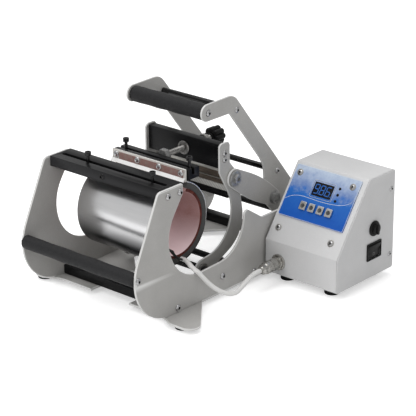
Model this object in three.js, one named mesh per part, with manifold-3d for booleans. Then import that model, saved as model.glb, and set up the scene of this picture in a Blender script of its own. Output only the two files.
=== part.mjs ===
// Manual mug heat press with its separate control box, in millimetres, +Z up.
// While it is built, X 0 is the middle plane between the side plates, with +X towards the control box,
// Y 0 is the heater's axis, with +Y towards the back, and Z 0 is the bench.
// The finished group is then moved so that the origin is the bottom centre of the whole object.
import * as THREE from 'three';
import { mergeVertices } from 'three/addons/utils/BufferGeometryUtils.js';
import Module from 'manifold-3d';

const wasm = await Module();
wasm.setup();

// Clearances that every fit shares
const faceGap = 0.2;
const holeGap = 0.35;
const cutOverrun = 2;

// Heater: a silicone mat, insulation and a steel band in one open ring
const boreDiameter = 81;
const heaterLength = 120;
const heaterAxisHeight = 101.5;
const matThickness = 4;
const insulationThickness = 7.2;
const bandThickness = 1;
const heaterRearEndAngle = 70;
const heaterFrontEndAngle = 125;
const bandFlapRise = 6.8;

// Feet and foot plates
const padDiameter = 20;
const padHeight = 5.5;
const footPlateThickness = 3;
const footFlapInnerX = 32.4;
const footNarrowX = 65;
const footFrontY = -60.6;
const footFrontCornerX = 82.6;
const footRearY = 215;
const footFrontFlapEndY = 21;
const footRearFlapEndY = 196.5;
const footFrontSlantY = 31;
const footRearSlantY = 34.5;
const earReachLeft = 128;
const earReachRight = 143;
const earRootFrontY = -64.5;
const earFrontY = -71.3;
const earFrontInset = 13;
const earRootRearY = 3;
const earCornerRadius = 13;
const frontPadX = 117.5;
const frontPadY = -57;
const rearPadX = 65;
const rearPadY = 205;

// Side plates
const plateGap = 186;
const plateThickness = 3;
const plateRearY = 246;
const plateRearTop = 84;
const plateRearCornerRadius = 30;
const plateRearTopCornerRadius = 6;
const plateFrontRoundY = -56;
const plateFrontRoundRadius = 59.4;
const plateNotchY = 119;
const plateNotchRadius = 4;
const hornY = 88.8;
const hornRise = 12.8;
const hornRadius = 5.4;
const throatY = 34.2;
const throatDrop = 4.5;
const hornNeckGap = 0.3;
const cradleY = 1;
const cradleRise = 2.5;
const cradleClearance = 3.9;
const plateTipY = -30;
const plateTipRise = 0.8;
const plateTipRadius = 2.5;
const plateTopDrop = 0.2;
const plateTopFrontY = -67.6;
const plateTopFrontRadius = 8;

// Plate screws: a stud through each plate and a button head outside
const studRadius = 2.5;
const headRadius = 4.2;
const headHeight = 2.4;

// Cross bars and shafts between the side plates
const lowBarSize = 12;
const lowBarFrontY = -42;
const lowBarRearY = 210.5;
const lowRodY = 102;
const lowRodDiameter = 8;
const gripRodY = -110.8;
const gripRodHeight = 72.1;
const gripRodDiameter = 18;
const frontBarSetback = 29;
const frontBarDepth = 35.7;
const frontBarThickness = 13;
const frontBarRise = 4.6;
const frontBarScrewSpacing = 21;
const frontBarScrewSetback = 17;
const frontBarScrewRise = 3.7;
const frontBarSlotSetback = 19.3;
const frontBarSlotWidth = 5.8;
const frontBarSlotEndInset = 6.5;
const barSlotDepth = 8;
const swingShaftY = 41;
const swingShaftHeight = 28.5;
const swingShaftDiameter = 10;
const swingCollarRadius = 8;
const swingCollarWidth = 3;
const handleShaftY = 200.6;
const handleShaftHeight = 58;
const handleShaftDiameter = 8;

// Slotted clamp screws that stand in the bars' slots
const slotScrewNeckDiameter = 4;
const slotScrewHeadDiameter = 8;
const slotScrewHeadHeight = 5;
const frontSlotScrewRise = 12.4;
const rearSlotScrewRise = 13.5;
const frontSlotScrewLeftInset = 50.2;
const frontSlotScrewRightInset = 28.8;
const rearSlotScrewLeftInset = 12;
const rearSlotScrewRightInset = 6;

// Rear clamp
const flapThickness = 2;
const flapSideMargin = 2;
const bandEndGap = 0.5;
const clampPlateThickness = 2.5;
const clampPlateHeight = 16;
const clampPlateOverhang = 1;
const clampScrewRadius = 3.4;
const clampScrewHeight = 3;
const clampScrewRise = 9.3;
const clampScrewEndInset = 7;
const clampScrewInnerShare = 1 / 3;
const clampBarOverhang = 2;
const clampBarDepth = 20;
const clampBarRise = 1.1;
const clampBarHeight = 14;
const clampBarSlotSetback = 8.6;
const clampBarSlotWidth = 4.6;

// Swinging frame
const armThickness = 2.5;
const armInnerX = 60.3;
const swingEyeRadius = 13;
const swingBackSetback = 33.5;
const swingBackRise = 51;
const swingBackRadius = 45;
const swingFrontSetback = 7;
const swingFrontRise = 63.5;
const swingNeckGap = 1.3;
const linkFrontSetback = 20.9;
const linkFrontDrop = 31.6;
const linkFrontBossRadius = 10.5;
const tabFrontMargin = 4.3;
const tabRearMargin = 4.5;
const tabTopMargin = 2;
const tabCornerRadius = 6;
const tabFootRise = 14.1;
const tabFootRadius = 4;
const tabRearFootRise = 24.6;
const beamFrontY = 79;
const beamDepth = 11;
const beamDrop = 15;
const beamHeight = 32;
const beamScrewInset = 11.7;
const beamStudRadius = 2;
const tieBarY = 98;
const tieBarDepth = 10;
const tieBarDrop = 26.3;
const tieBarHeight = 16.5;

// Pressure screw
const pressureAxisDrop = 2.1;
const pressureRodDiameter = 7.5;
const thrustCupRadius = 8;
const thrustCupLength = 8;
const thrustCupFloor = 3;
const lockNutRadius = 8;
const lockNutWidth = 6;
const lockNutY = 118;
const knobY = 138.5;
const knobWidth = 17;
const knobRadius = 12.5;
const knobLobes = 8;
const knobLobeDepth = 1.9;
const knobCap = 2;

// Toggle links
const linkThickness = 3;
const linkSideGap = 0.5;
const linkRearAdvance = 23;
const linkRearRise = 27.7;
const linkFrontEndRadius = 12.5;
const linkRearEndRadius = 11;
const linkBellyRadius = 15.8;
const linkBoltDiameter = 8;
const linkFrontHoleDiameter = 14.5;
const linkFrontFlangeRadius = 10.5;
const linkFrontFlangeThickness = 2;
const linkFrontHeadRadius = 6.5;
const linkFrontHeadHeight = 4;
const linkWasherRadius = 9;
const linkWasherThickness = 1.2;
const linkNutRadius = 7.4;
const linkNutThickness = 6;

// Handle
const handleShaftBossRadius = 11.5;
const linkRearBossRadius = 13.5;
const handleKneeSetback = 6.4;
const handleKneeRise = 34.6;
const handleKneeRadius = 12;
const handleElbowAdvance = 85.3;
const handleElbowRise = 134.3;
const handleElbowRadius = 22;
const handleTipAdvance = 1.8;
const handleTipRise = 0.6;
const handleTipRadius = 11;
const handleInnerElbowAdvance = 0.8;
const handleInnerElbowDrop = 5.7;
const handleInnerElbowRadius = 5;
const handleWaistAdvance = 60.6;
const handleWaistRise = 32.3;
const handleWaistNeckGap = 10.2;
const handleGripAdvance = 37.7;
const handleGripRise = 9.9;
const handleGripDiameter = 21;
const handleGripSpigotRadius = 4;
const elbowRodSetback = 15.6;
const elbowRodRise = 0.5;
const spacerRodAdvance = 18.5;
const spacerRodRise = 25.4;
const handleRodRadius = 4;
const handleRodSpigotRadius = 2.5;

// Control box
const boxLeftX = 99.4;
const boxWidth = 113.9;
const boxFrontY = 120.5;
const boxDepth = 116.3;
const boxBottom = 10;
const boxHeight = 132.3;
const boxWall = 1.5;
const boxBendRadius = 2.5;
const boxSlopeFootRise = 43.8;
const boxSlopeTopSetback = 64.8;
const boxFootRadius = 10;
const boxFootSideInset = 22;
const boxFootEndInset = 19;
const panelLeftInset = 3.6;
const panelRightInset = 8.8;
const panelStart = 34.2;
const panelTopMargin = 2.7;
const panelThickness = 1.2;
const displayLeftInset = 36.5;
const displayWidth = 29.4;
const displayTopInset = 16.1;
const displayLength = 18.2;
const displayThickness = 3;
const buttonCount = 4;
const buttonFirstInset = 32.8;
const buttonPitch = 13.37;
const buttonRise = 12.9;
const buttonLength = 11;
const buttonWidth = 9.5;
const buttonThickness = 2.4;
const buttonTravelGap = 0.7;
const rockerRearInset = 41.8;
const rockerRise = 35.5;
const rockerLength = 25;
const rockerWidth = 18;
const rockerFront = 2.4;
const rockerBack = 5;
const rockerRestTilt = 8;
const rockerWindowGap = 0.7;
const fuseRearInset = 42.6;
const fuseRise = 65.7;
const fuseRimRadius = 10;
const fuseRimThickness = 2.4;
const fuseCapRadius = 7.5;
const fuseCapLength = 8;
const socketInset = 21.6;
const socketRise = 18.3;
const socketFlangeRadius = 10.5;
const socketFlangeThickness = 2;
const socketBarrelRadius = 7;
const socketBarrelLength = 7;
const plugRadius = 8;
const plugBore = 5;
const plugLength = 28;
const plugNeckRadius = 5;
const plugNeckLength = 6;
const leadDiameter = 6;

// Facets
const roundSides = 14;
const fineSides = 16;
const nutSides = 6;
const holeHalfSides = 6;
const beltArcStep = THREE.MathUtils.degToRad(7);
const ringArcStep = THREE.MathUtils.degToRad(5);
const knobStepsPerLobe = 5;
const linkSteps = 16;
const leadSides = 10;
const leadSteps = 44;
const mergeTolerance = 1e-4;

// Places worked out from the sizes above
const footPlateTop = padHeight + footPlateThickness;
const plateBottom = footPlateTop + faceGap;
const plateInnerX = plateGap / 2;
const plateOuterX = plateInnerX + plateThickness;
const matOuterRadius = boreDiameter / 2 + matThickness;
const insulationInnerRadius = matOuterRadius + faceGap;
const insulationOuterRadius = insulationInnerRadius + insulationThickness;
const bandInnerRadius = insulationOuterRadius + faceGap;
const bandOuterRadius = bandInnerRadius + bandThickness;
const frontBarRearY = -frontBarSetback;
const frontBarSlotY = frontBarRearY - frontBarSlotSetback;
const frontBarBottom = heaterAxisHeight + bandOuterRadius + frontBarRise;
const frontBarTop = frontBarBottom + frontBarThickness;
const plateTop = frontBarTop - plateTopDrop;
const throatHeight = heaterAxisHeight - throatDrop;
const hornHeight = plateRearTop + hornRise;
const throatRadius = Math.hypot(hornY - throatY, hornHeight - throatHeight) - hornRadius - hornNeckGap;
const rearEndAngle = THREE.MathUtils.degToRad(heaterRearEndAngle);
const flapRearY = bandOuterRadius * Math.cos(rearEndAngle) - bandEndGap;
const flapBottom = heaterAxisHeight + bandOuterRadius * Math.sin(rearEndAngle) + bandEndGap;
const clampPlateRearY = flapRearY - flapThickness - faceGap;
const clampBarFrontY = flapRearY + faceGap;
const clampBarRearY = clampBarFrontY + clampBarDepth;
const clampBarBottom = flapBottom + clampBarRise;
const clampBarTop = clampBarBottom + clampBarHeight;
const clampBarHalfLength = heaterLength / 2 + clampBarOverhang;
const clampPlateHalfLength = heaterLength / 2 + clampPlateOverhang;
const pressureAxisHeight = clampBarTop - pressureAxisDrop;
const armOuterX = armInnerX + armThickness;
const linkInnerX = armOuterX + linkSideGap;
const linkOuterX = linkInnerX + linkThickness;
const lowBarHeight = footPlateTop + faceGap + lowBarSize / 2;
const swingFrontRadius = Math.hypot(swingFrontSetback, swingFrontRise) - swingEyeRadius - swingNeckGap;
const beamMiddleY = beamFrontY + beamDepth / 2;
const beamBottom = pressureAxisHeight - beamDrop;
const beamTop = beamBottom + beamHeight;
const tabFrontY = beamFrontY - tabFrontMargin;
const tabRearY = beamFrontY + beamDepth + tabRearMargin;
const tabTop = beamTop + tabTopMargin;
const linkFrontY = beamFrontY + linkFrontSetback;
const linkFrontHeight = pressureAxisHeight - linkFrontDrop;
const linkRearY = handleShaftY - linkRearAdvance;
const linkRearHeight = handleShaftHeight + linkRearRise;
const tieBarBottom = linkFrontHeight - tieBarDrop;
const handleKneeY = handleShaftY + handleKneeSetback;
const handleKneeHeight = handleShaftHeight + handleKneeRise;
const handleWaistRadius = Math.hypot(handleWaistAdvance, handleWaistRise)
  - linkRearBossRadius - handleWaistNeckGap;
const handleElbowY = linkRearY - handleElbowAdvance;
const handleElbowHeight = linkRearHeight + handleElbowRise;
const handleGripY = handleElbowY - handleGripAdvance;
const handleGripHeight = handleElbowHeight + handleGripRise;
const elbowRod = [handleElbowY + elbowRodSetback, handleElbowHeight + elbowRodRise];
const spacerRod = [handleKneeY - spacerRodAdvance, handleKneeHeight + spacerRodRise];
const boxRightX = boxLeftX + boxWidth;
const boxRearY = boxFrontY + boxDepth;
const boxTop = boxBottom + boxHeight;
const boxSlopeFoot = [boxFrontY + boxBendRadius, boxBottom + boxSlopeFootRise];
const boxSlopeTop = [boxFrontY + boxSlopeTopSetback, boxTop - boxBendRadius];
const boxSlopeRun = boxSlopeTop[0] - boxSlopeFoot[0];
const boxSlopeClimb = boxSlopeTop[1] - boxSlopeFoot[1];
const boxSlopeAngle = Math.atan2(boxSlopeClimb, boxSlopeRun);
const panelLeftX = boxLeftX + panelLeftInset;
const panelRightX = boxRightX - panelRightInset;
const panelEnd = Math.hypot(boxSlopeRun, boxSlopeClimb) - panelTopMargin;
const displayLeftX = panelLeftX + displayLeftInset;
const displayEnd = panelEnd - displayTopInset;
const buttonFirstX = panelLeftX + buttonFirstInset;
const buttonStart = panelStart + buttonRise;
const rockerPlace = [boxRearY - rockerRearInset, boxBottom + rockerRise];
const fusePlace = [boxRearY - fuseRearInset, boxBottom + fuseRise];
const socketPlace = [boxLeftX + socketInset, boxBottom + socketRise];

// A named mesh with its own material
function piece(name, geometry, material) {
  const mesh = new THREE.Mesh(geometry, material);
  mesh.name = name;
  return mesh;
}

// A group at a place, holding other pieces
function cluster(place, ...pieces) {
  const group = new THREE.Group();
  group.position.set(...place);
  group.add(...pieces);
  return group;
}

// Finishes
function finish(color, roughness, metalness) {
  return new THREE.MeshStandardMaterial({ color, roughness, metalness });
}
const framePaint = () => finish(0xb9bbb5, 0.5, 0.1);
const blackPaint = () => finish(0x17181a, 0.45, 0.2);
const lightPaint = () => finish(0xc9cac6, 0.5, 0.1);
const rubber = () => finish(0x101112, 0.85, 0);
const steel = () => finish(0xc4c6c8, 0.3, 0.9);
const chrome = () => finish(0xdfe2e5, 0.12, 1);
const silicone = () => finish(0x7b3326, 0.7, 0);
const insulationFelt = () => finish(0x8d8f8e, 0.9, 0);
const boxPaint = () => finish(0xa9aeb0, 0.5, 0.1);
const panelPrint = () => finish(0x2f6fb4, 0.4, 0);
const blackPlastic = () => finish(0x151516, 0.4, 0);
const whitePlastic = () => finish(0xe9ebec, 0.45, 0);
const leadJacket = () => finish(0xb4b6b6, 0.6, 0);

// A block between two stations on each axis
function block([x0, x1], [y0, y1], [z0, z1]) {
  const geometry = new THREE.BoxGeometry(x1 - x0, y1 - y0, z1 - z0);
  return geometry.translate((x0 + x1) / 2, (y0 + y1) / 2, (z0 + z1) / 2);
}

// A round bar along one axis between two stations, centred on the other two coordinates
function roundBar(axis, radius, [from, to], [first, second], sides = roundSides) {
  const geometry = new THREE.CylinderGeometry(radius, radius, to - from, sides);
  const middle = (from + to) / 2;
  if (axis === 'x') return geometry.rotateZ(Math.PI / 2).translate(middle, first, second);
  if (axis === 'y') return geometry.translate(first, middle, second);
  return geometry.rotateX(Math.PI / 2).translate(first, second, middle);
}

// A closed solid with shared vertices, ready to be joined or cut
function toSolid(geometry) {
  const bare = geometry.clone();
  bare.deleteAttribute('normal');
  bare.deleteAttribute('uv');
  const merged = mergeVertices(bare, mergeTolerance);
  return new wasm.Manifold(new wasm.Mesh({
    numProp: 3,
    vertProperties: new Float32Array(merged.attributes.position.array),
    triVerts: new Uint32Array(merged.index.array),
  }));
}

function toGeometry(solid) {
  const { vertProperties, triVerts } = solid.getMesh();
  const geometry = new THREE.BufferGeometry();
  geometry.setAttribute('position', new THREE.BufferAttribute(vertProperties, 3));
  geometry.setIndex(new THREE.BufferAttribute(triVerts, 1));
  geometry.computeVertexNormals();
  return geometry;
}

function joined(first, ...others) {
  return toGeometry(others.reduce((solid, other) => solid.add(toSolid(other)), toSolid(first)));
}

function cut(first, ...tools) {
  return toGeometry(tools.reduce((solid, tool) => solid.subtract(toSolid(tool)), toSolid(first)));
}

// The outline of a belt drawn counter-clockwise round circles [across, up, radius] in turn.
// A negative radius makes a hollow: the belt passes it on its far side. A zero radius is a corner.
function belt(circles) {
  const directions = circles.map(([across, up, radius], i) => {
    const [nextAcross, nextUp, nextRadius] = circles[(i + 1) % circles.length];
    const distance = Math.hypot(nextAcross - across, nextUp - up);
    const bearing = Math.atan2(nextUp - up, nextAcross - across);
    return bearing - Math.asin((nextRadius - radius) / distance);
  });
  return circles.flatMap(([across, up, radius], i) => {
    if (radius === 0) return [new THREE.Vector2(across, up)];
    const start = directions.at(i - 1);
    const leftTurn = THREE.MathUtils.euclideanModulo(directions[i] - start, 2 * Math.PI);
    const turn = radius > 0 ? leftTurn : leftTurn - 2 * Math.PI;
    const steps = Math.max(1, Math.round(Math.abs(turn) / beltArcStep));
    return Array.from({ length: steps + 1 }, (_, step) => {
      const angle = start + (turn * step) / steps - Math.PI / 2;
      return new THREE.Vector2(across + radius * Math.cos(angle), up + radius * Math.sin(angle));
    });
  });
}

// Points along an arc about the heater's axis, in degrees from +Y
function heaterArc(radius, fromDegrees, toDegrees) {
  const from = THREE.MathUtils.degToRad(fromDegrees);
  const to = THREE.MathUtils.degToRad(toDegrees);
  const steps = Math.round(Math.abs(to - from) / ringArcStep);
  return Array.from({ length: steps + 1 }, (_, step) => {
    const angle = from + ((to - from) * step) / steps;
    return new THREE.Vector2(radius * Math.cos(angle), heaterAxisHeight + radius * Math.sin(angle));
  });
}

function withHoles(outline, holes) {
  const shape = new THREE.Shape(outline);
  for (const [across, up, radius] of holes) {
    shape.holes.push(new THREE.Path().absarc(across, up, radius, 0, 2 * Math.PI, false));
  }
  return shape;
}

// A plate with a (Y, Z) outline, from one station to another along X
function plateAlongX(outline, holes, [from, to]) {
  const settings = { depth: to - from, bevelEnabled: false, curveSegments: holeHalfSides };
  const geometry = new THREE.ExtrudeGeometry(withHoles(outline, holes), settings);
  const turn = new THREE.Matrix4().makeBasis(
    new THREE.Vector3(0, 1, 0),
    new THREE.Vector3(0, 0, 1),
    new THREE.Vector3(1, 0, 0),
  );
  return geometry.applyMatrix4(turn).translate(from, 0, 0);
}

// The stations of a plate on the left (-1) or the right (1), from its inner and outer faces
function sideSpan(side, innerX, outerX) {
  return side > 0 ? [innerX, outerX] : [-outerX, -innerX];
}

function forBothSides(make) {
  return [[-1, 'left'], [1, 'right']].map(([side, label]) => make(side, label));
}

// Places (Y, Z) of the screws that hold the bars and shafts between the side plates
const frontBarScrews = [-1, 1].map((end) => [
  frontBarRearY - frontBarScrewSetback + (end * frontBarScrewSpacing) / 2,
  frontBarBottom + frontBarScrewRise,
]);
const plateScrews = [
  ...frontBarScrews,
  [gripRodY, gripRodHeight],
  [swingShaftY, swingShaftHeight],
  [handleShaftY, handleShaftHeight],
  ...[lowBarFrontY, lowRodY, lowBarRearY].map((y) => [y, lowBarHeight]),
];

function sidePlateOutline() {
  return belt([
    [plateFrontRoundY, plateBottom + plateFrontRoundRadius, plateFrontRoundRadius],
    [plateRearY - plateRearCornerRadius, plateBottom + plateRearCornerRadius, plateRearCornerRadius],
    [
      plateRearY - plateRearTopCornerRadius,
      plateRearTop - plateRearTopCornerRadius,
      plateRearTopCornerRadius,
    ],
    [plateNotchY, plateRearTop + plateNotchRadius, -plateNotchRadius],
    [hornY, hornHeight, hornRadius],
    [throatY, throatHeight, -throatRadius],
    [cradleY, heaterAxisHeight + cradleRise, -(bandOuterRadius + cradleClearance)],
    [plateTipY - plateTipRadius, frontBarBottom + plateTipRise, plateTipRadius],
    [plateTipY - plateTipRadius, plateTop - plateTipRadius, plateTipRadius],
    [plateTopFrontY, plateTop - plateTopFrontRadius, plateTopFrontRadius],
  ]);
}

function sidePlates() {
  const holes = plateScrews.map(([y, z]) => [y, z, studRadius + holeGap]);
  return forBothSides((side, label) => piece(
    `side_plate_${label}`,
    plateAlongX(sidePlateOutline(), holes, sideSpan(side, plateInnerX, plateOuterX)),
    framePaint(),
  ));
}

function footPlateOutline(earReach) {
  return belt([
    [footFlapInnerX, footFrontY, 0],
    [footFrontCornerX, footFrontY, 0],
    [plateOuterX, earRootFrontY, 0],
    [plateOuterX + earFrontInset, earFrontY, 0],
    [earReach - earCornerRadius, earFrontY + earCornerRadius, earCornerRadius],
    [plateOuterX, earRootRearY, 0],
    [plateOuterX, footRearY, 0],
    [footFlapInnerX, footRearY, 0],
    [footFlapInnerX, footRearFlapEndY, 0],
    [footNarrowX, footRearFlapEndY - footRearSlantY, 0],
    [footNarrowX, footFrontFlapEndY + footFrontSlantY, 0],
    [footFlapInnerX, footFrontFlapEndY, 0],
  ]);
}

// The ear that carries the front pad reaches further out on the right than on the left
function footPlates() {
  return forBothSides((side, label) => {
    const outline = footPlateOutline(side > 0 ? earReachRight : earReachLeft);
    const shape = new THREE.Shape(outline.map(({ x, y }) => new THREE.Vector2(side * x, y)));
    const sheet = new THREE.ExtrudeGeometry(shape, { depth: footPlateThickness, bevelEnabled: false });
    const plate = piece(`foot_plate_${label}`, sheet, framePaint());
    plate.position.z = padHeight;
    return plate;
  });
}

function footPads() {
  const corners = [['front', frontPadX, frontPadY], ['rear', rearPadX, rearPadY]];
  return corners.flatMap(([end, x, y]) => forBothSides((side, label) => {
    const disc = roundBar('z', padDiameter / 2, [0, padHeight - faceGap], [0, 0]);
    const pad = piece(`foot_pad_${end}_${label}`, disc, rubber());
    pad.position.set(side * x, y, 0);
    return pad;
  }));
}

// Studs along X through both side plates, with a button head outside each plate
function studs(places) {
  const headInner = plateOuterX + faceGap;
  const headOuter = headInner + headHeight;
  return places.flatMap((place) => [
    roundBar('x', studRadius, [-headInner, headInner], place, 2 * holeHalfSides),
    ...forBothSides((side) => roundBar('x', headRadius, sideSpan(side, headInner, headOuter), place)),
  ]);
}

// What fills the space between the side plates
function betweenPlates() {
  return [faceGap - plateInnerX, plateInnerX - faceGap];
}

// What cuts a slot along a bar's top, where the slot screws stand
function slotTool(span, slotY, width, top) {
  return block(span, [slotY - width / 2, slotY + width / 2], [top - barSlotDepth, top + cutOverrun]);
}

function slotScrews(end, slotY, top, rise, places) {
  return places.map(([label, x]) => {
    const neckSpan = [faceGap - barSlotDepth, rise];
    const neck = roundBar('z', slotScrewNeckDiameter / 2, neckSpan, [0, 0], 2 * holeHalfSides);
    const head = roundBar('z', slotScrewHeadDiameter / 2, [rise - slotScrewHeadHeight, rise], [0, 0]);
    const screw = piece(`${end}_slot_screw_${label}`, joined(neck, head), blackPaint());
    screw.position.set(x, slotY, top);
    return screw;
  });
}

function frontBar() {
  const solid = block(
    betweenPlates(),
    [frontBarRearY - frontBarDepth, frontBarRearY],
    [frontBarBottom, frontBarTop],
  );
  const slotEnd = plateInnerX - frontBarSlotEndInset;
  const slot = slotTool([-slotEnd, slotEnd], frontBarSlotY, frontBarSlotWidth, frontBarTop);
  return piece('front_bar', joined(cut(solid, slot), ...studs(frontBarScrews)), blackPaint());
}

function frontSlotScrews() {
  const leftX = frontSlotScrewLeftInset - plateInnerX;
  const rightX = plateInnerX - frontSlotScrewRightInset;
  const places = [['left', leftX], ['right', rightX]];
  return slotScrews('front', frontBarSlotY, frontBarTop, frontSlotScrewRise, places);
}

function frontGrip() {
  const place = [gripRodY, gripRodHeight];
  const sleeve = roundBar('x', gripRodDiameter / 2, betweenPlates(), place, fineSides);
  return piece('front_grip', joined(sleeve, ...studs([place])), rubber());
}

function lowCrossBars() {
  return [['front', lowBarFrontY], ['rear', lowBarRearY]].map(([label, y]) => {
    const bar = block(
      betweenPlates(),
      [y - lowBarSize / 2, y + lowBarSize / 2],
      [lowBarHeight - lowBarSize / 2, lowBarHeight + lowBarSize / 2],
    );
    return piece(`cross_bar_${label}`, joined(bar, ...studs([[y, lowBarHeight]])), blackPaint());
  });
}

function lowCrossRod() {
  const place = [lowRodY, lowBarHeight];
  const rod = roundBar('x', lowRodDiameter / 2, betweenPlates(), place);
  return piece('cross_bar_middle', joined(rod, ...studs([place])), blackPaint());
}

function swingShaft() {
  const place = [swingShaftY, swingShaftHeight];
  const collarInner = armOuterX + faceGap;
  const collars = forBothSides((side) => roundBar(
    'x', swingCollarRadius, sideSpan(side, collarInner, collarInner + swingCollarWidth), place,
  ));
  const shaft = roundBar('x', swingShaftDiameter / 2, betweenPlates(), place);
  return piece('swing_shaft', joined(shaft, ...collars, ...studs([place])), blackPaint());
}

function handleShaft() {
  const place = [handleShaftY, handleShaftHeight];
  const shaft = roundBar('x', handleShaftDiameter / 2, betweenPlates(), place);
  return piece('handle_shaft', joined(shaft, ...studs([place])), blackPaint());
}

// One layer of the heater, an open ring along X
function heaterLayer(innerRadius, outerRadius) {
  const from = heaterFrontEndAngle - 360;
  const outline = [
    ...heaterArc(innerRadius, heaterRearEndAngle, from),
    ...heaterArc(outerRadius, from, heaterRearEndAngle),
  ];
  return plateAlongX(outline, [], [-heaterLength / 2, heaterLength / 2]);
}

function heaterMat() {
  return piece('heater_mat', heaterLayer(boreDiameter / 2, matOuterRadius), silicone());
}

function heaterInsulation() {
  const felt = heaterLayer(insulationInnerRadius, insulationOuterRadius);
  return piece('heater_insulation', felt, insulationFelt());
}

// The band's front end bends up against the front bar
function heaterBand() {
  const flapFrontY = frontBarRearY + faceGap;
  const flapBackY = flapFrontY + bandThickness;
  const flapTop = frontBarBottom + bandFlapRise;
  const outerEnd = THREE.MathUtils.radToDeg(Math.acos(flapFrontY / bandOuterRadius)) - 360;
  const innerEnd = THREE.MathUtils.radToDeg(Math.acos(flapBackY / bandInnerRadius)) - 360;
  const outline = [
    ...heaterArc(bandOuterRadius, outerEnd, heaterRearEndAngle),
    ...heaterArc(bandInnerRadius, heaterRearEndAngle, innerEnd),
    new THREE.Vector2(flapBackY, flapTop),
    new THREE.Vector2(flapFrontY, flapTop),
  ];
  return piece('heater_band', plateAlongX(outline, [], [-heaterLength / 2, heaterLength / 2]), steel());
}

function heaterRearFlap() {
  const halfLength = heaterLength / 2 - flapSideMargin;
  const flap = block(
    [-halfLength, halfLength],
    [flapRearY - flapThickness, flapRearY],
    [flapBottom, clampBarTop],
  );
  return piece('heater_rear_flap', flap, insulationFelt());
}

function rearClampPlate() {
  const frontY = clampPlateRearY - clampPlateThickness;
  const plate = block(
    [-clampPlateHalfLength, clampPlateHalfLength],
    [frontY, clampPlateRearY],
    [flapBottom, flapBottom + clampPlateHeight],
  );
  const endX = clampPlateHalfLength - clampScrewEndInset;
  const screwSpan = [frontY - clampScrewHeight, clampPlateRearY - faceGap];
  const screws = [-1, -clampScrewInnerShare, clampScrewInnerShare, 1].map((share) => roundBar(
    'y', clampScrewRadius, screwSpan, [share * endX, flapBottom + clampScrewRise],
  ));
  return piece('rear_clamp_plate', joined(plate, ...screws), steel());
}

function rearClampBar() {
  const bar = block(
    [-clampBarHalfLength, clampBarHalfLength],
    [clampBarFrontY, clampBarRearY],
    [clampBarBottom, clampBarTop],
  );
  const slotY = clampBarFrontY + clampBarSlotSetback;
  const slotEnd = clampBarHalfLength + cutOverrun;
  const slot = slotTool([-slotEnd, slotEnd], slotY, clampBarSlotWidth, clampBarTop);
  return piece('rear_clamp_bar', cut(bar, slot), blackPaint());
}

function rearSlotScrews() {
  const slotY = clampBarFrontY + clampBarSlotSetback;
  const leftX = rearSlotScrewLeftInset - clampBarHalfLength;
  const rightX = clampBarHalfLength - rearSlotScrewRightInset;
  const places = [['left', leftX], ['right', rightX]];
  return slotScrews('rear', slotY, clampBarTop, rearSlotScrewRise, places);
}

function thrustCup() {
  const frontY = clampBarRearY + faceGap;
  const axis = [0, pressureAxisHeight];
  const cup = roundBar('y', thrustCupRadius, [frontY, frontY + thrustCupLength], axis);
  const pocket = roundBar(
    'y',
    pressureRodDiameter / 2 + holeGap,
    [frontY + thrustCupFloor, frontY + thrustCupLength + cutOverrun],
    axis,
  );
  return piece('thrust_cup', cut(cup, pocket), chrome());
}

function pressureRod() {
  const axis = [0, pressureAxisHeight];
  const frontY = clampBarRearY + faceGap + thrustCupFloor + faceGap;
  const rearY = knobY + knobWidth / 2 - knobCap - faceGap;
  const rod = roundBar('y', pressureRodDiameter / 2, [frontY, rearY], axis);
  const nutSpan = [lockNutY - lockNutWidth / 2, lockNutY + lockNutWidth / 2];
  const nut = roundBar('y', lockNutRadius, nutSpan, axis, nutSides);
  return piece('pressure_rod', joined(rod, nut), chrome());
}

// Star knob: a round with shallow lobes, extruded along Y
function pressureKnob() {
  const steps = knobLobes * knobStepsPerLobe;
  const outline = Array.from({ length: steps }, (_, step) => {
    const angle = (2 * Math.PI * step) / steps;
    const radius = knobRadius - knobLobeDepth * (1 - Math.abs(Math.cos((knobLobes * angle) / 2)));
    return new THREE.Vector2(radius * Math.cos(angle), radius * Math.sin(angle));
  });
  const star = new THREE.ExtrudeGeometry(new THREE.Shape(outline), { depth: knobWidth, bevelEnabled: false });
  const pocket = roundBar(
    'z', pressureRodDiameter / 2 + holeGap, [knobCap, knobWidth + cutOverrun], [0, 0],
  );
  const knob = piece('pressure_knob', cut(star, pocket), blackPlastic());
  knob.rotation.x = Math.PI / 2;
  knob.position.set(0, knobY + knobWidth / 2, pressureAxisHeight);
  return knob;
}

function swingArms() {
  const outline = belt([
    [swingShaftY, swingShaftHeight, swingEyeRadius],
    [swingShaftY + swingBackSetback, swingShaftHeight + swingBackRise, swingBackRadius],
    [linkFrontY, linkFrontHeight, linkFrontBossRadius],
    [tabRearY + tabCornerRadius, linkFrontHeight + tabRearFootRise, -tabCornerRadius],
    [tabRearY - tabCornerRadius, tabTop - tabCornerRadius, tabCornerRadius],
    [tabFrontY + tabCornerRadius, tabTop - tabCornerRadius, tabCornerRadius],
    [tabFrontY + tabFootRadius, linkFrontHeight + tabFootRise, tabFootRadius],
    [swingShaftY + swingFrontSetback, swingShaftHeight + swingFrontRise, -swingFrontRadius],
  ]);
  const holes = [
    [swingShaftY, swingShaftHeight, swingShaftDiameter / 2 + holeGap],
    [linkFrontY, linkFrontHeight, linkBoltDiameter / 2 + holeGap],
    [beamMiddleY, beamBottom + beamScrewInset, beamStudRadius + holeGap],
    [beamMiddleY, beamTop - beamScrewInset, beamStudRadius + holeGap],
  ];
  return forBothSides((side, label) => piece(
    `swing_arm_${label}`,
    plateAlongX(outline, holes, sideSpan(side, armInnerX, armOuterX)),
    framePaint(),
  ));
}

// A bar between two arms whose ends have spigots that reach the arms' outer faces
function armSpigots(radius, place) {
  return roundBar('x', radius, [-armOuterX, armOuterX], place, 2 * holeHalfSides);
}

function betweenArms() {
  return [faceGap - armInnerX, armInnerX - faceGap];
}

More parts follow.
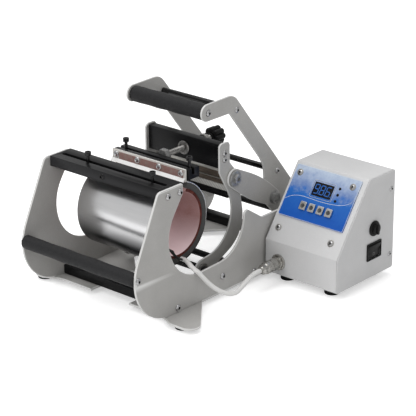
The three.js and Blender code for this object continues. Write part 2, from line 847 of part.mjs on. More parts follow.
function pressureBeam() {
  const beam = block(betweenArms(), [beamFrontY, beamFrontY + beamDepth], [beamBottom, beamTop]);
  const spigots = [beamBottom + beamScrewInset, beamTop - beamScrewInset].map(
    (height) => armSpigots(beamStudRadius, [beamMiddleY, height]),
  );
  const bore = roundBar(
    'y',
    pressureRodDiameter / 2 + holeGap,
    [beamFrontY - cutOverrun, beamFrontY + beamDepth + cutOverrun],
    [0, pressureAxisHeight],
  );
  return piece('pressure_beam', cut(joined(beam, ...spigots), bore), blackPaint());
}

function armTieBar() {
  const bar = block(
    betweenArms(),
    [tieBarY - tieBarDepth / 2, tieBarY + tieBarDepth / 2],
    [tieBarBottom, tieBarBottom + tieBarHeight],
  );
  return piece('arm_tie_bar', bar, lightPaint());
}

// Lens outline between the two bolts, with round ends and a fuller belly
function linkOutline() {
  const length = Math.hypot(linkRearY - linkFrontY, linkRearHeight - linkFrontHeight);
  const tilt = Math.atan2(linkRearHeight - linkFrontHeight, linkRearY - linkFrontY);
  const edge = (share) => {
    const endRadius = THREE.MathUtils.lerp(linkFrontEndRadius, linkRearEndRadius, share);
    return endRadius + (linkBellyRadius - endRadius) * Math.sin(Math.PI * share);
  };
  const shares = Array.from({ length: linkSteps + 1 }, (_, step) => step / linkSteps);
  const lower = shares.map((share) => [share * length, -edge(share)]);
  const upper = shares.map((share) => [share * length, edge(share)]).reverse();
  const round = (along, radius, start) => shares.slice(1, -1).map((share) => {
    const angle = start + Math.PI * share;
    return [along + radius * Math.cos(angle), radius * Math.sin(angle)];
  });
  const outline = [
    ...lower,
    ...round(length, linkRearEndRadius, -Math.PI / 2),
    ...upper,
    ...round(0, linkFrontEndRadius, Math.PI / 2),
  ];
  const front = new THREE.Vector2(linkFrontY, linkFrontHeight);
  const centre = new THREE.Vector2();
  return outline.map(([along, off]) => new THREE.Vector2(along, off).rotateAround(centre, tilt).add(front));
}

function links() {
  const holes = [
    [linkFrontY, linkFrontHeight, linkFrontHoleDiameter / 2],
    [linkRearY, linkRearHeight, linkBoltDiameter / 2 + holeGap],
  ];
  return forBothSides((side, label) => piece(
    `link_${label}`,
    plateAlongX(linkOutline(), holes, sideSpan(side, linkInnerX, linkOuterX)),
    framePaint(),
  ));
}

// A bolt along X through an arm and a link, with round or hexagonal pieces outside the link
function linkBolt(side, place, collars) {
  const shankOuter = linkOuterX + faceGap + collars[0].width / 2;
  const shank = roundBar('x', linkBoltDiameter / 2, sideSpan(side, armInnerX, shankOuter), place);
  let inner = linkOuterX + faceGap;
  const outside = collars.map(({ radius, width, sides }) => {
    const collar = roundBar('x', radius, sideSpan(side, inner, inner + width), place, sides);
    inner += width;
    return collar;
  });
  return joined(shank, ...outside);
}

function linkFrontBolts() {
  const collars = [
    { radius: linkFrontFlangeRadius, width: linkFrontFlangeThickness, sides: roundSides },
    { radius: linkFrontHeadRadius, width: linkFrontHeadHeight, sides: roundSides },
  ];
  return forBothSides((side, label) => piece(
    `link_front_bolt_${label}`, linkBolt(side, [linkFrontY, linkFrontHeight], collars), chrome(),
  ));
}

function linkRearBolts() {
  const collars = [
    { radius: linkWasherRadius, width: linkWasherThickness, sides: roundSides },
    { radius: linkNutRadius, width: linkNutThickness, sides: nutSides },
  ];
  return forBothSides((side, label) => piece(
    `link_rear_bolt_${label}`, linkBolt(side, [linkRearY, linkRearHeight], collars), steel(),
  ));
}

function handleArms() {
  const outline = belt([
    [handleShaftY, handleShaftHeight, handleShaftBossRadius],
    [handleKneeY, handleKneeHeight, handleKneeRadius],
    [handleElbowY, handleElbowHeight, handleElbowRadius],
    [handleGripY - handleTipAdvance, handleGripHeight + handleTipRise, handleTipRadius],
    [
      handleElbowY - handleInnerElbowAdvance,
      handleElbowHeight - handleInnerElbowDrop,
      -handleInnerElbowRadius,
    ],
    [linkRearY - handleWaistAdvance, linkRearHeight + handleWaistRise, -handleWaistRadius],
    [linkRearY, linkRearHeight, linkRearBossRadius],
  ]);
  const holes = [
    [handleShaftY, handleShaftHeight, handleShaftDiameter / 2 + holeGap],
    [linkRearY, linkRearHeight, linkBoltDiameter / 2 + holeGap],
    [handleGripY, handleGripHeight, handleGripSpigotRadius + holeGap],
    [...elbowRod, handleRodSpigotRadius + holeGap],
    [...spacerRod, handleRodSpigotRadius + holeGap],
  ];
  return forBothSides((side, label) => piece(
    `handle_arm_${label}`,
    plateAlongX(outline, holes, sideSpan(side, armInnerX, armOuterX)),
    framePaint(),
  ));
}

function handleGrip() {
  const place = [handleGripY, handleGripHeight];
  const sleeve = roundBar('x', handleGripDiameter / 2, betweenArms(), place, fineSides);
  return piece('handle_grip', joined(sleeve, armSpigots(handleGripSpigotRadius, place)), rubber());
}

function handleRods() {
  return [['elbow_rod', elbowRod], ['spacer_rod', spacerRod]].map(([name, place]) => {
    const rod = roundBar('x', handleRodRadius, betweenArms(), place);
    return piece(name, joined(rod, armSpigots(handleRodSpigotRadius, place)), blackPaint());
  });
}

// The box's section: upright front, sloping panel, flat top. All its bends share one set of centres.
function boxSection(bendRadius) {
  return belt([
    [boxFrontY + boxBendRadius, boxBottom + boxBendRadius, bendRadius],
    [boxRearY - boxBendRadius, boxBottom + boxBendRadius, bendRadius],
    [boxRearY - boxBendRadius, boxTop - boxBendRadius, bendRadius],
    [...boxSlopeTop, bendRadius],
    [...boxSlopeFoot, bendRadius],
  ]);
}

function boxShell() {
  const openEnd = boxRightX - boxWall - faceGap;
  const outer = plateAlongX(boxSection(boxBendRadius), [], [boxLeftX, openEnd]);
  const inner = plateAlongX(
    boxSection(boxBendRadius - boxWall), [], [boxLeftX + boxWall, openEnd + cutOverrun],
  );
  return piece('box_shell', cut(outer, inner), boxPaint());
}

function boxCover() {
  const sheet = plateAlongX(boxSection(boxBendRadius), [], [boxRightX - boxWall, boxRightX]);
  const halfLength = rockerLength / 2 + rockerWindowGap;
  const halfWidth = rockerWidth / 2 + rockerWindowGap;
  const window = block(
    [boxRightX - boxWall - cutOverrun, boxRightX + cutOverrun],
    [rockerPlace[0] - halfLength, rockerPlace[0] + halfLength],
    [rockerPlace[1] - halfWidth, rockerPlace[1] + halfWidth],
  );
  return piece('box_cover', cut(sheet, window), boxPaint());
}

function boxFeet() {
  const xs = [['left', boxLeftX + boxFootSideInset], ['right', boxRightX - boxFootSideInset]];
  const ys = [['front', boxFrontY + boxFootEndInset], ['rear', boxRearY - boxFootEndInset]];
  return ys.flatMap(([end, y]) => xs.map(([label, x]) => {
    const disc = roundBar('z', boxFootRadius, [0, boxBottom - faceGap], [0, 0]);
    const foot = piece(`box_foot_${end}_${label}`, disc, rubber());
    foot.position.set(x, y, 0);
    return foot;
  }));
}

function controlPanel() {
  const sheet = block([panelLeftX, panelRightX], [panelStart, panelEnd], [faceGap, faceGap + panelThickness]);
  return piece('control_panel', sheet, panelPrint());
}

function display() {
  const back = 2 * faceGap + panelThickness;
  const bezel = block(
    [displayLeftX, displayLeftX + displayWidth],
    [displayEnd - displayLength, displayEnd],
    [back, back + displayThickness],
  );
  return piece('display', bezel, blackPlastic());
}

function buttons() {
  const back = faceGap + panelThickness + buttonTravelGap;
  return Array.from({ length: buttonCount }, (_, i) => {
    const cap = block([-buttonWidth / 2, buttonWidth / 2], [0, buttonLength], [back, back + buttonThickness]);
    const button = piece(`button_${i + 1}`, cap, whitePlastic());
    button.position.set(buttonFirstX + i * buttonPitch, buttonStart, 0);
    return button;
  });
}

// The sloping panel's pieces lie in a group on the slope: X across, Y up the slope, Z outwards
function slopePieces() {
  const foot = [
    0,
    boxSlopeFoot[0] - boxBendRadius * Math.sin(boxSlopeAngle),
    boxSlopeFoot[1] + boxBendRadius * Math.cos(boxSlopeAngle),
  ];
  const slope = cluster(foot, controlPanel(), display(), ...buttons());
  slope.rotation.x = boxSlopeAngle;
  return slope;
}

// The rocker's section is a shallow wedge that fills the cover's window
function rockerSwitch() {
  const halfWidth = rockerWidth / 2;
  const outline = [
    [-rockerBack, -halfWidth], [rockerFront, -halfWidth], [rockerFront / 2, 0],
    [rockerFront, halfWidth], [-rockerBack, halfWidth],
  ].map(([out, up]) => new THREE.Vector2(out, up));
  const section = new THREE.Shape(outline);
  const wedge = new THREE.ExtrudeGeometry(section, { depth: rockerLength, bevelEnabled: false });
  wedge.rotateX(Math.PI / 2).translate(0, rockerLength / 2, 0);
  const rocker = piece('rocker_switch', wedge, blackPlastic());
  rocker.rotation.y = THREE.MathUtils.degToRad(rockerRestTilt);
  rocker.position.set(boxRightX - boxWall / 2, ...rockerPlace);
  return rocker;
}

function fuseCap() {
  const back = boxRightX + faceGap;
  const rim = roundBar('x', fuseRimRadius, [back, back + fuseRimThickness], fusePlace);
  const cap = roundBar('x', fuseCapRadius, [back, back + fuseCapLength], fusePlace);
  return piece('fuse_cap', joined(rim, cap), blackPlastic());
}

function leadSocket() {
  const flangeBack = boxFrontY - faceGap;
  const flangeFront = flangeBack - socketFlangeThickness;
  const flange = roundBar('y', socketFlangeRadius, [flangeFront, flangeBack], socketPlace, fineSides);
  const barrelSpan = [flangeFront - socketBarrelLength, flangeBack - faceGap];
  const barrel = roundBar('y', socketBarrelRadius, barrelSpan, socketPlace);
  return piece('lead_socket', joined(flange, barrel), chrome());
}

// The plug's stations along Y: its rear face lies on the socket's flange and its neck takes the lead
const plugRearY = boxFrontY - socketFlangeThickness - 2 * faceGap;
const plugNeckY = plugRearY - plugLength;
const leadEndY = plugNeckY - plugNeckLength;

function leadPlug() {
  const body = roundBar('y', plugRadius, [plugNeckY, plugRearY], socketPlace);
  const neck = roundBar('y', plugNeckRadius, [leadEndY + faceGap, plugNeckY + plugBore], socketPlace);
  const pocket = roundBar(
    'y',
    socketBarrelRadius + holeGap,
    [plugRearY - socketBarrelLength - plugBore / 2, plugRearY + cutOverrun],
    socketPlace,
  );
  return piece('lead_plug', cut(joined(body, neck), pocket), chrome());
}

// The lead leaves the insulation's right end, passes over the side plate's cradle and sags to the plug
function heaterLead() {
  const route = [
    [heaterLength / 2 + faceGap, 5, 53.6],
    [67, 4.8, 53.6],
    [76, 0.8, 53.4],
    [86, -4.6, 52.9],
    [94, -7.8, 52.4],
    [99, -8, 50.9],
    [104, -5.2, 44.8],
    [110, -0.5, 36.4],
    [118, 5.6, 28.6],
    [126, 15, 22.6],
    [129.5, 26, 20.8],
    [127.6, 40, 23],
    [123.4, 60, 27],
    [121, 75, 28.3],
    [121, 83.9, 28.3],
  ];
  const path = new THREE.CatmullRomCurve3(route.map((point) => new THREE.Vector3(...point)));
  const section = new THREE.Shape(Array.from({ length: leadSides }, (_, i) => {
    const angle = (2 * Math.PI * i) / leadSides;
    return new THREE.Vector2((leadDiameter / 2) * Math.cos(angle), (leadDiameter / 2) * Math.sin(angle));
  }));
  const settings = { steps: leadSteps, extrudePath: path, bevelEnabled: false };
  return piece('heater_lead', new THREE.ExtrudeGeometry(section, settings), leadJacket());
}

// The origin is the bottom centre of the box round the object
const objectRightX = boxRightX + faceGap + fuseCapLength;
const objectFrontY = gripRodY - gripRodDiameter / 2;
const middleX = (objectRightX - earReachLeft) / 2;
const middleY = (objectFrontY + plateRearY) / 2;

const mugPress = cluster(
  [-middleX, -middleY, 0],
  ...sidePlates(),
  ...footPlates(),
  ...footPads(),
  frontBar(),
  frontGrip(),
  ...frontSlotScrews(),
  ...lowCrossBars(),
  lowCrossRod(),
  swingShaft(),
  handleShaft(),
  heaterMat(),
  heaterInsulation(),
  heaterBand(),
  heaterRearFlap(),
  rearClampPlate(),
  rearClampBar(),
  ...rearSlotScrews(),
  thrustCup(),
  pressureRod(),
  pressureKnob(),
  ...swingArms(),
  pressureBeam(),
  armTieBar(),
  ...links(),
  ...linkFrontBolts(),
  ...linkRearBolts(),
  ...handleArms(),
  handleGrip(),
  ...handleRods(),
  boxShell(),
  boxCover(),
  ...boxFeet(),
  slopePieces(),
  rockerSwitch(),
  fuseCap(),
  leadSocket(),
  leadPlug(),
  heaterLead(),
);

export default mugPress;
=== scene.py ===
# Manual mug heat press with its control box: the looks, in metres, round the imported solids.
# The press stands on Z 0 with its front towards -Y. Its middle plane and the heater's axis are worked
# out from the solids.
import math

import bmesh
import bpy
from mathutils import Matrix, Vector
from mathutils.geometry import tessellate_polygon


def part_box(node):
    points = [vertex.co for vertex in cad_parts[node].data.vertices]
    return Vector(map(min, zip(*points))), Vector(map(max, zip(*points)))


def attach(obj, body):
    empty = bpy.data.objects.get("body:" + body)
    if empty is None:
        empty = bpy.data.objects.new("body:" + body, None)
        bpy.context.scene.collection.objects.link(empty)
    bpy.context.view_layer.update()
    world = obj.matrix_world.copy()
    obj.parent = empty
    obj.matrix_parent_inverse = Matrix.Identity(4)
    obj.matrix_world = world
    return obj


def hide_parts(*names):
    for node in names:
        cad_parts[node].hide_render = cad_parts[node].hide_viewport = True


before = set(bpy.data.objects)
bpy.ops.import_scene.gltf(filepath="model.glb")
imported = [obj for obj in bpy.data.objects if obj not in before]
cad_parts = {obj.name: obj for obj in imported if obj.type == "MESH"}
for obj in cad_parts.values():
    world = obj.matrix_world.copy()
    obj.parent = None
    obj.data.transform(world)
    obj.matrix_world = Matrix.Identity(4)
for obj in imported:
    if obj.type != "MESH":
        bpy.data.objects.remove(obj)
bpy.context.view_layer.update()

# Camera, from the photograph
CAMERA_PLACE = (1.39775, -1.5889, 0.9397)
CAMERA_AZIMUTH = 41.2
CAMERA_ELEVATION = 21.65
CAMERA_ROLL = -0.35
CAMERA_LENS = 157.93
CAMERA_SENSOR = 36.0

# Directions
RIGHT = (1, 0, 0)
BACK = (0, 1, 0)
FORWARD = (0, -1, 0)
UP = (0, 0, 1)

# Edges and facets. A plate's flat face starts FLAT_MARGIN times the rounding inside it, so that only
# the edge takes the lighter edge colour, a painted highlight (on black bars partly wear)
THIN_ROUND = 0.0002
FINE_ROUND = 0.0003
END_ROUND = 0.0004
EASED_ROUND = 0.0005
PLATE_ROUND = 0.0006
BAR_ROUND = 0.0006
SOFT_ROUND = 0.0007
BROAD_ROUND = 0.0008
FLAT_MARGIN = 0.6
FILLET_SHARE = 1 - math.cos(math.pi / 4)
SIDES = 48
SMALL_SIDES = 24
SMOOTH_ANGLE = math.radians(32)
POINT_STEP = 1e-6

# Screws. A head is its radius and height, and the shares are of those
BUTTON_HEAD_SHARES = ((0.0, 0.94), (0.06, 1.0), (0.3, 0.97), (0.62, 0.82), (0.86, 0.62), (1.0, 0.42))
SOCKET_SHARE = 0.42
SOCKET_DEPTH_SHARE = 0.72
# The dark disc in each screw socket is painted shade.
SOCKET_DISC_SHARE = 0.9
SOCKET_DISC_RISE = 0.00025
PLATE_HEAD = (0.0042, 0.0024)
PLATE_HEAD_TURN = 0.4
ARM_HEAD = (0.0040, 0.0020)
NUT_TURN = 0.1
FACE_GAP = 0.0002


# Camera

def add_camera():
    data = bpy.data.cameras.new("camera")
    data.lens = CAMERA_LENS
    data.sensor_width = CAMERA_SENSOR
    camera = bpy.data.objects.new("camera", data)
    place = Matrix.Translation(CAMERA_PLACE)
    for degrees, axis in ((CAMERA_AZIMUTH, "Z"), (90 - CAMERA_ELEVATION, "X"), (CAMERA_ROLL, "Z")):
        place = place @ Matrix.Rotation(math.radians(degrees), 4, axis)
    camera.matrix_world = place
    bpy.context.scene.collection.objects.link(camera)
    bpy.context.scene.camera = camera


# Materials

class Nodes:
    """One material's node tree, with short calls for the nodes that the finishes share."""

    def __init__(self, name):
        self.material = bpy.data.materials.new(name)
        self.material.use_nodes = True
        self.tree = self.material.node_tree
        self.shader = self.tree.nodes["Principled BSDF"]
        self.place = self.add("ShaderNodeTexCoord").outputs["Object"]

    def add(self, kind, **settings):
        node = self.tree.nodes.new(kind)
        for key, value in settings.items():
            setattr(node, key, value)
        return node

    def link(self, source, target):
        self.tree.links.new(source, target)

    def noise(self, size, stretch=(1, 1, 1), detail=4.0, roughness=0.6):
        """Noise whose grains are about size metres across, drawn out along axes with a small stretch."""
        mapping = self.add("ShaderNodeMapping")
        mapping.inputs["Scale"].default_value = stretch
        self.link(self.place, mapping.inputs["Vector"])
        node = self.add("ShaderNodeTexNoise")
        for socket, value in (("Scale", 1 / size), ("Detail", detail), ("Roughness", roughness)):
            node.inputs[socket].default_value = value
        self.link(mapping.outputs["Vector"], node.inputs["Vector"])
        return node.outputs["Fac"]

    def bands(self, direction, scale, distortion):
        node = self.add("ShaderNodeTexWave", wave_type="BANDS", bands_direction=direction)
        node.inputs["Scale"].default_value = scale
        node.inputs["Distortion"].default_value = distortion
        self.link(self.place, node.inputs["Vector"])
        return node.outputs["Fac"]

    def ramp(self, factor, low, high, start=0.3, end=0.7):
        """Runs from the value low to the value high as factor runs from start to end."""
        node = self.add("ShaderNodeMapRange")
        for socket, value in zip(("From Min", "From Max", "To Min", "To Max"), (start, end, low, high)):
            node.inputs[socket].default_value = value
        self.link(factor, node.inputs["Value"])
        return node.outputs["Result"]

    def math(self, operation, first, second):
        node = self.add("ShaderNodeMath", operation=operation)
        for socket, value in zip(node.inputs, (first, second)):
            if isinstance(value, (int, float)):
                socket.default_value = value
            else:
                self.link(value, socket)
        return node.outputs["Value"]

    def mix(self, factor, first, second):
        """A colour between first and second, each a colour or another node's output."""
        node = self.add("ShaderNodeMix", data_type="RGBA")
        self.link(factor, node.inputs["Factor"])
        for socket, value in ((node.inputs[6], first), (node.inputs[7], second)):
            if isinstance(value, tuple):
                socket.default_value = (*value, 1)
            else:
                self.link(value, socket)
        return node.outputs[2]

    def tones(self, factor, first, second, start=0.3, end=0.7):
        """The colour first up to the factor start and second from the factor end on."""
        return self.mix(self.ramp(factor, 0, 1, start, end), first, second)

    def height(self):
        """The height over the bench. Every piece's own frame is the shared one."""
        parts = self.add("ShaderNodeSeparateXYZ")
        self.link(self.place, parts.inputs["Vector"])
        return parts.outputs["Z"]

    def edges(self, start=0.52, end=0.62):
        """Rises from 0 to 1 on the outward edges of a piece."""
        return self.ramp(self.add("ShaderNodeNewGeometry").outputs["Pointiness"], 0, 1, start, end)

    def finish(self, colour, rough=None, height=None, depth=0.0, **values):
        """Links the colour, the roughness and a bump of the given depth, and sets the shader's values."""
        self.link(colour, self.shader.inputs["Base Color"])
        if rough:
            self.link(rough, self.shader.inputs["Roughness"])
        if height:
            node = self.add("ShaderNodeBump")
            node.inputs["Distance"].default_value = depth
            node.inputs["Strength"].default_value = 1.0
            self.link(height, node.inputs["Height"])
            self.link(node.outputs["Normal"], self.shader.inputs["Normal"])
        for key, value in values.items():
            self.shader.inputs[key.replace("_", " ")].default_value = value
        return self.material


def grey(value):
    return (value,) * 3


def powder_coat(name, dark, light, edge, wear_and_highlight=(0.51, 0.56)):
    """Satin powder coat: a fine orange peel, faint blotches and lighter edges, which are a painted
    highlight.
    """
    nodes = Nodes(name)
    grain = 0.0007
    coat = nodes.tones(nodes.noise(0.045, detail=3), dark, light)
    speckle = nodes.ramp(nodes.noise(grain * 1.6, detail=2), 0, 0.22, 0.55, 0.75)
    coat = nodes.mix(speckle, coat, edge)
    # Painted highlight: the rounded edges turn towards the pale edge colour.
    coat = nodes.mix(nodes.math("MULTIPLY", nodes.edges(*wear_and_highlight), 0.85), coat, edge)
    rough = nodes.ramp(nodes.noise(0.02), 0.44, 0.58)
    return nodes.finish(coat, rough, nodes.noise(grain, detail=2), 0.00004, Specular_IOR_Level=0.4)


def brushed_metal(name, dark, light, along, rough=(0.28, 0.42)):
    """Metal with fine scratches along the axes whose stretch is small."""
    nodes = Nodes(name)
    scratches = nodes.noise(0.0012, stretch=along, detail=6, roughness=0.7)
    tone = nodes.tones(scratches, dark, light)
    shaded = tuple(channel * 0.8 for channel in dark)
    tone = nodes.mix(nodes.ramp(nodes.noise(0.03, detail=3), 0.25, 0, 0.35, 0.6), tone, shaded)
    return nodes.finish(tone, nodes.ramp(scratches, *rough), scratches, 0.00002, Metallic=1.0)


def bright_metal(name, colour, rough, wear_and_highlight):
    """Plated metal with faint smears."""
    nodes = Nodes(name)
    tone = nodes.tones(nodes.noise(0.004), colour, wear_and_highlight, 0.35, 0.7)
    rough = nodes.ramp(nodes.noise(0.0025), rough * 0.7, rough * 1.6)
    return nodes.finish(tone, rough, nodes.noise(0.0009, detail=3), 0.00001, Metallic=1.0)


def matt_stuff(name, dark, light, rough, grain, depth, edge=None, specular=0.4):
    """Rubber, plastic or felt: two tones in fine grains, with a matching bump and, where an edge colour is
    given, lighter edges as a painted highlight.
    """
    nodes = Nodes(name)
    grains = nodes.noise(grain, detail=5, roughness=0.7)
    tone = nodes.tones(grains, dark, light)
    if edge:
        # Painted highlight on the rounded edges.
        tone = nodes.mix(nodes.math("MULTIPLY", nodes.edges(), 0.7), tone, edge)
    rough = nodes.ramp(nodes.noise(grain * 4), rough - 0.07, rough + 0.07)
    return nodes.finish(tone, rough, grains, depth, Specular_IOR_Level=specular)


def satin_black(name, stroke, rough=(0.26, 0.38), specular=0.16):
    """Black oxide on milled bar: deep black with fine mill lines along the bar, and dark grey edges that are
    partly wear and partly painted highlight.
    """
    nodes = Nodes(name)
    lines = nodes.noise(0.0009, stretch=stroke, detail=5, roughness=0.7)
    tone = nodes.tones(lines, (0.0016, 0.0016, 0.0018), (0.0045, 0.0045, 0.005))
    # Edges lighter: partly wear, partly painted highlight.
    wear_and_highlight = nodes.math("MULTIPLY", nodes.edges(0.54, 0.66), 0.5)
    tone = nodes.mix(wear_and_highlight, tone, (0.05, 0.05, 0.053))
    rough = nodes.ramp(lines, *rough)
    return nodes.finish(tone, rough, lines, 0.00002, Specular_IOR_Level=specular)


def rolled_steel():
    """The band: satin steel sheet with a calm grain along the heater, darkened towards its bottom as a
    painted reflection of the shaded floor.
    """
    nodes = Nodes("band_steel")
    grain = nodes.noise(0.0016, stretch=(0.02, 1, 1), detail=6)
    cloud = nodes.noise(0.05, stretch=(0.4, 1, 1), detail=2)
    tone = nodes.tones(grain, (0.86, 0.86, 0.87), (0.96, 0.96, 0.97), 0.2, 0.8)
    tone = nodes.mix(nodes.ramp(cloud, 0, 0.3), tone, (0.75, 0.75, 0.76))
    # Painted dark reflection: the band turns near black towards its bottom.
    painted_dark_reflection = nodes.ramp(nodes.height(), 1, 0, 0.076, 0.102)
    tone = nodes.mix(painted_dark_reflection, tone, (0.045, 0.045, 0.048))
    rough = nodes.ramp(grain, 0.22, 0.28, 0.2, 0.8)
    return nodes.finish(tone, rough, grain, 0.000004, Metallic=1.0)


def silicone_mat():
    """Silicone: dusty pink on the face that presses, paler low in the bore as painted light, and dark red on
    the rim, the silicone's own red darkened by painted shade.
    """
    nodes = Nodes("silicone_mat")
    normal = nodes.add("ShaderNodeSeparateXYZ")
    nodes.link(nodes.add("ShaderNodeNewGeometry").outputs["Normal"], normal.inputs["Vector"])
    rim = nodes.ramp(nodes.math("ABSOLUTE", normal.outputs["X"], 0), 0, 1, 0.4, 0.7)
    dust = nodes.ramp(nodes.noise(0.02, detail=5), 0, 1)
    weave = nodes.ramp(nodes.noise(0.0012, detail=3), 0, 0.5, 0.4, 0.7)
    face = nodes.mix(dust, (0.30, 0.15, 0.14), (0.40, 0.24, 0.235))
    face = nodes.mix(weave, face, (0.46, 0.30, 0.29))
    # Painted light: the face turns pale pink low in the bore.
    face = nodes.mix(nodes.ramp(nodes.height(), 0.95, 0, 0.066, 0.098), face, (0.84, 0.65, 0.67))
    # The rim's dark red: the silicone's own red, partly darkened as painted shade.
    edge = nodes.tones(nodes.noise(0.005), (0.070, 0.010, 0.006), (0.13, 0.03, 0.018), 0.5, 0.66)
    rough = nodes.ramp(dust, 0.6, 0.85)
    grains = nodes.noise(0.0008, detail=3)
    return nodes.finish(nodes.mix(rim, face, edge), rough, grains, 0.00008, Specular_IOR_Level=0.35)


def woven_strip():
    """Glass cloth coated with brown silicone: the weave shows grey through the brown."""
    nodes = Nodes("woven_strip")
    weave = nodes.math("MULTIPLY", nodes.bands("X", 450, 1.5), nodes.bands("Z", 450, 1.5))
    patches = nodes.ramp(nodes.noise(0.007), 0, 1, 0.45, 0.62)
    brown = nodes.tones(weave, (0.22, 0.12, 0.105), (0.33, 0.20, 0.18), 0.1, 0.6)
    tone = nodes.mix(nodes.math("MULTIPLY", patches, 0.55), brown, (0.25, 0.22, 0.19))
    return nodes.finish(tone, nodes.ramp(weave, 0.6, 0.8), weave, 0.0001, Specular_IOR_Level=0.3)


def hatched_bar():
    """Pale bar with fine slanting machining marks."""
    nodes = Nodes("hatched_bar")
    marks = nodes.bands("DIAGONAL", 130, 0.6)
    tone = nodes.mix(marks, (0.46, 0.45, 0.43), (0.62, 0.61, 0.58))
    rough = nodes.ramp(nodes.noise(0.004), 0.4, 0.6)
    return nodes.finish(tone, rough, marks, 0.00004, Specular_IOR_Level=0.5)


def panel_film(low, high, up):
    """Printed film: strong blue at the foot of the slope, pale grey-blue at its top."""
    nodes = Nodes("panel_film")
    rise = nodes.add("ShaderNodeVectorMath", operation="DOT_PRODUCT")
    nodes.link(nodes.place, rise.inputs[0])
    rise.inputs[1].default_value = up
    height = nodes.ramp(rise.outputs["Value"], 0, 1, low.dot(up), high.dot(up))
    drift = nodes.ramp(nodes.noise(0.012, detail=6, roughness=0.75), -0.12, 0.12)
    share = nodes.math("ADD", height, drift)
    blue = nodes.tones(share, (0.008, 0.085, 0.40), (0.022, 0.135, 0.46), 0.1, 0.55)
    pale = nodes.tones(share, blue, (0.15, 0.23, 0.45), 0.5, 0.62)
    tone = nodes.tones(share, pale, (0.46, 0.54, 0.66), 0.62, 1.0)
    rough = nodes.ramp(nodes.noise(0.01), 0.3, 0.42)
    return nodes.finish(tone, rough, nodes.noise(0.0006), 0.00001, Specular_IOR_Level=0.25)


def display_glass():
    nodes = Nodes("display_glass")
    tone = nodes.tones(nodes.noise(0.004), (0.002, 0.002, 0.003), (0.006, 0.006, 0.008))
    return nodes.finish(tone, nodes.ramp(nodes.noise(0.01), 0.12, 0.2), Specular_IOR_Level=0.5)


def display_segments():
    nodes = Nodes("display_segments")
    tone = nodes.tones(nodes.noise(0.002), (0.012, 0.07, 0.25), (0.02, 0.10, 0.34))
    glow = (0.02, 0.10, 0.36, 1)
    return nodes.finish(tone, Roughness=0.4, Emission_Color=glow, Emission_Strength=0.25)


# Each coat's last colour is for its light flecks and its edges; on the edges it is a painted highlight.
FRAME_COAT = powder_coat("frame_coat", (0.385, 0.378, 0.364), (0.43, 0.423, 0.409), (0.80, 0.80, 0.79))
BOX_COAT = powder_coat("box_coat", (0.545, 0.545, 0.548), (0.58, 0.58, 0.583), grey(0.80), (0.58, 0.66))
BLACK_ALONG_X = satin_black("black_along_x", (0.04, 1, 1))
BLACK_SCREW = satin_black("black_screw", (1, 1, 1), (0.16, 0.24), 0.4)
BLACK_ROD = satin_black("black_rod", (0.04, 1, 1), (0.12, 0.2), 0.4)
RUBBER = matt_stuff(
    "rubber", (0.010, 0.010, 0.0105), (0.028, 0.028, 0.0295), 0.6, 0.0011, 0.00012, specular=0.25,
)
PAD_RUBBER = matt_stuff("pad_rubber", grey(0.002), grey(0.005), 0.7, 0.001, 0.0001, specular=0.2)
BAND_STEEL = rolled_steel()
PLATE_STEEL = brushed_metal("plate_steel", (0.42, 0.41, 0.38), (0.58, 0.57, 0.53), (0.06, 1, 1))
CHROME = bright_metal("chrome", (0.55, 0.55, 0.555), 0.14, (0.38, 0.38, 0.385))
ZINC = bright_metal("zinc", (0.44, 0.43, 0.415), 0.30, (0.28, 0.275, 0.265))
BOLT_METAL = bright_metal("bolt_metal", (0.46, 0.46, 0.455), 0.5, (0.30, 0.30, 0.295))
CONNECTOR = bright_metal("connector_metal", (0.56, 0.55, 0.52), 0.2, (0.34, 0.33, 0.31))
FELT = matt_stuff("felt", (0.045, 0.045, 0.044), (0.085, 0.085, 0.083), 0.9, 0.0008, 0.0003)
SILICONE = silicone_mat()
WOVEN = woven_strip()
# The pale edge colour of clamp metal is a painted highlight.
CLAMP_METAL = matt_stuff(
    "clamp_metal", (0.19, 0.18, 0.165), (0.27, 0.26, 0.24), 0.4, 0.0012, 0.00002, (0.82, 0.80, 0.76),
)
WHITE_CLOTH = matt_stuff("white_cloth", (0.86, 0.86, 0.85), (0.94, 0.94, 0.93), 0.85, 0.0007, 0.0001)
HATCHED = hatched_bar()
# Dark brown, its darkness partly painted shade under the beam.
BRONZE_AND_SHADE = brushed_metal("bronze_and_shade", (0.13, 0.105, 0.085), (0.26, 0.215, 0.175), (0.05, 1, 1), (0.3, 0.5))
# The grey edge colour of black plastic is a painted highlight.
BLACK_PLASTIC = matt_stuff(
    "black_plastic", grey(0.005), grey(0.010), 0.42, 0.0006, 0.00002, grey(0.02), 0.15,
)
JACKET = matt_stuff("lead_jacket", (0.66, 0.655, 0.64), (0.74, 0.735, 0.72), 0.5, 0.0015, 0.00003)
WIRE_SLEEVE = matt_stuff("wire_sleeve", grey(0.006), grey(0.02), 0.5, 0.0008, 0.00004)
BUTTON_METAL = brushed_metal("button_metal", (0.62, 0.60, 0.57), (0.86, 0.85, 0.83), (1, 0.1, 0.1))
BUTTON_DISH = bright_metal("button_dish", grey(0.10), 0.35, (0.2, 0.195, 0.19))
PRINT_WHITE = matt_stuff("print_white", (0.62, 0.64, 0.66), (0.70, 0.72, 0.74), 0.4, 0.001, 0.000005)
PRINT_GREY = matt_stuff("print_grey", grey(0.16), grey(0.22), 0.4, 0.001, 0.000005)
PRINT_DARK = matt_stuff("print_dark", (0.02, 0.045, 0.13), (0.03, 0.06, 0.16), 0.4, 0.001, 0.000005)
DISPLAY_GLASS = display_glass()
DISPLAY_SEGMENTS = display_segments()


# Shapes

def aimed(place, direction, turn=0.0):
    """The matrix that carries a shape built about Z from the origin to place, facing direction."""
    facing = Vector(direction).to_track_quat("Z", "Y").to_matrix().to_4x4()
    return Matrix.Translation(place) @ facing @ Matrix.Rotation(turn, 4, "Z")


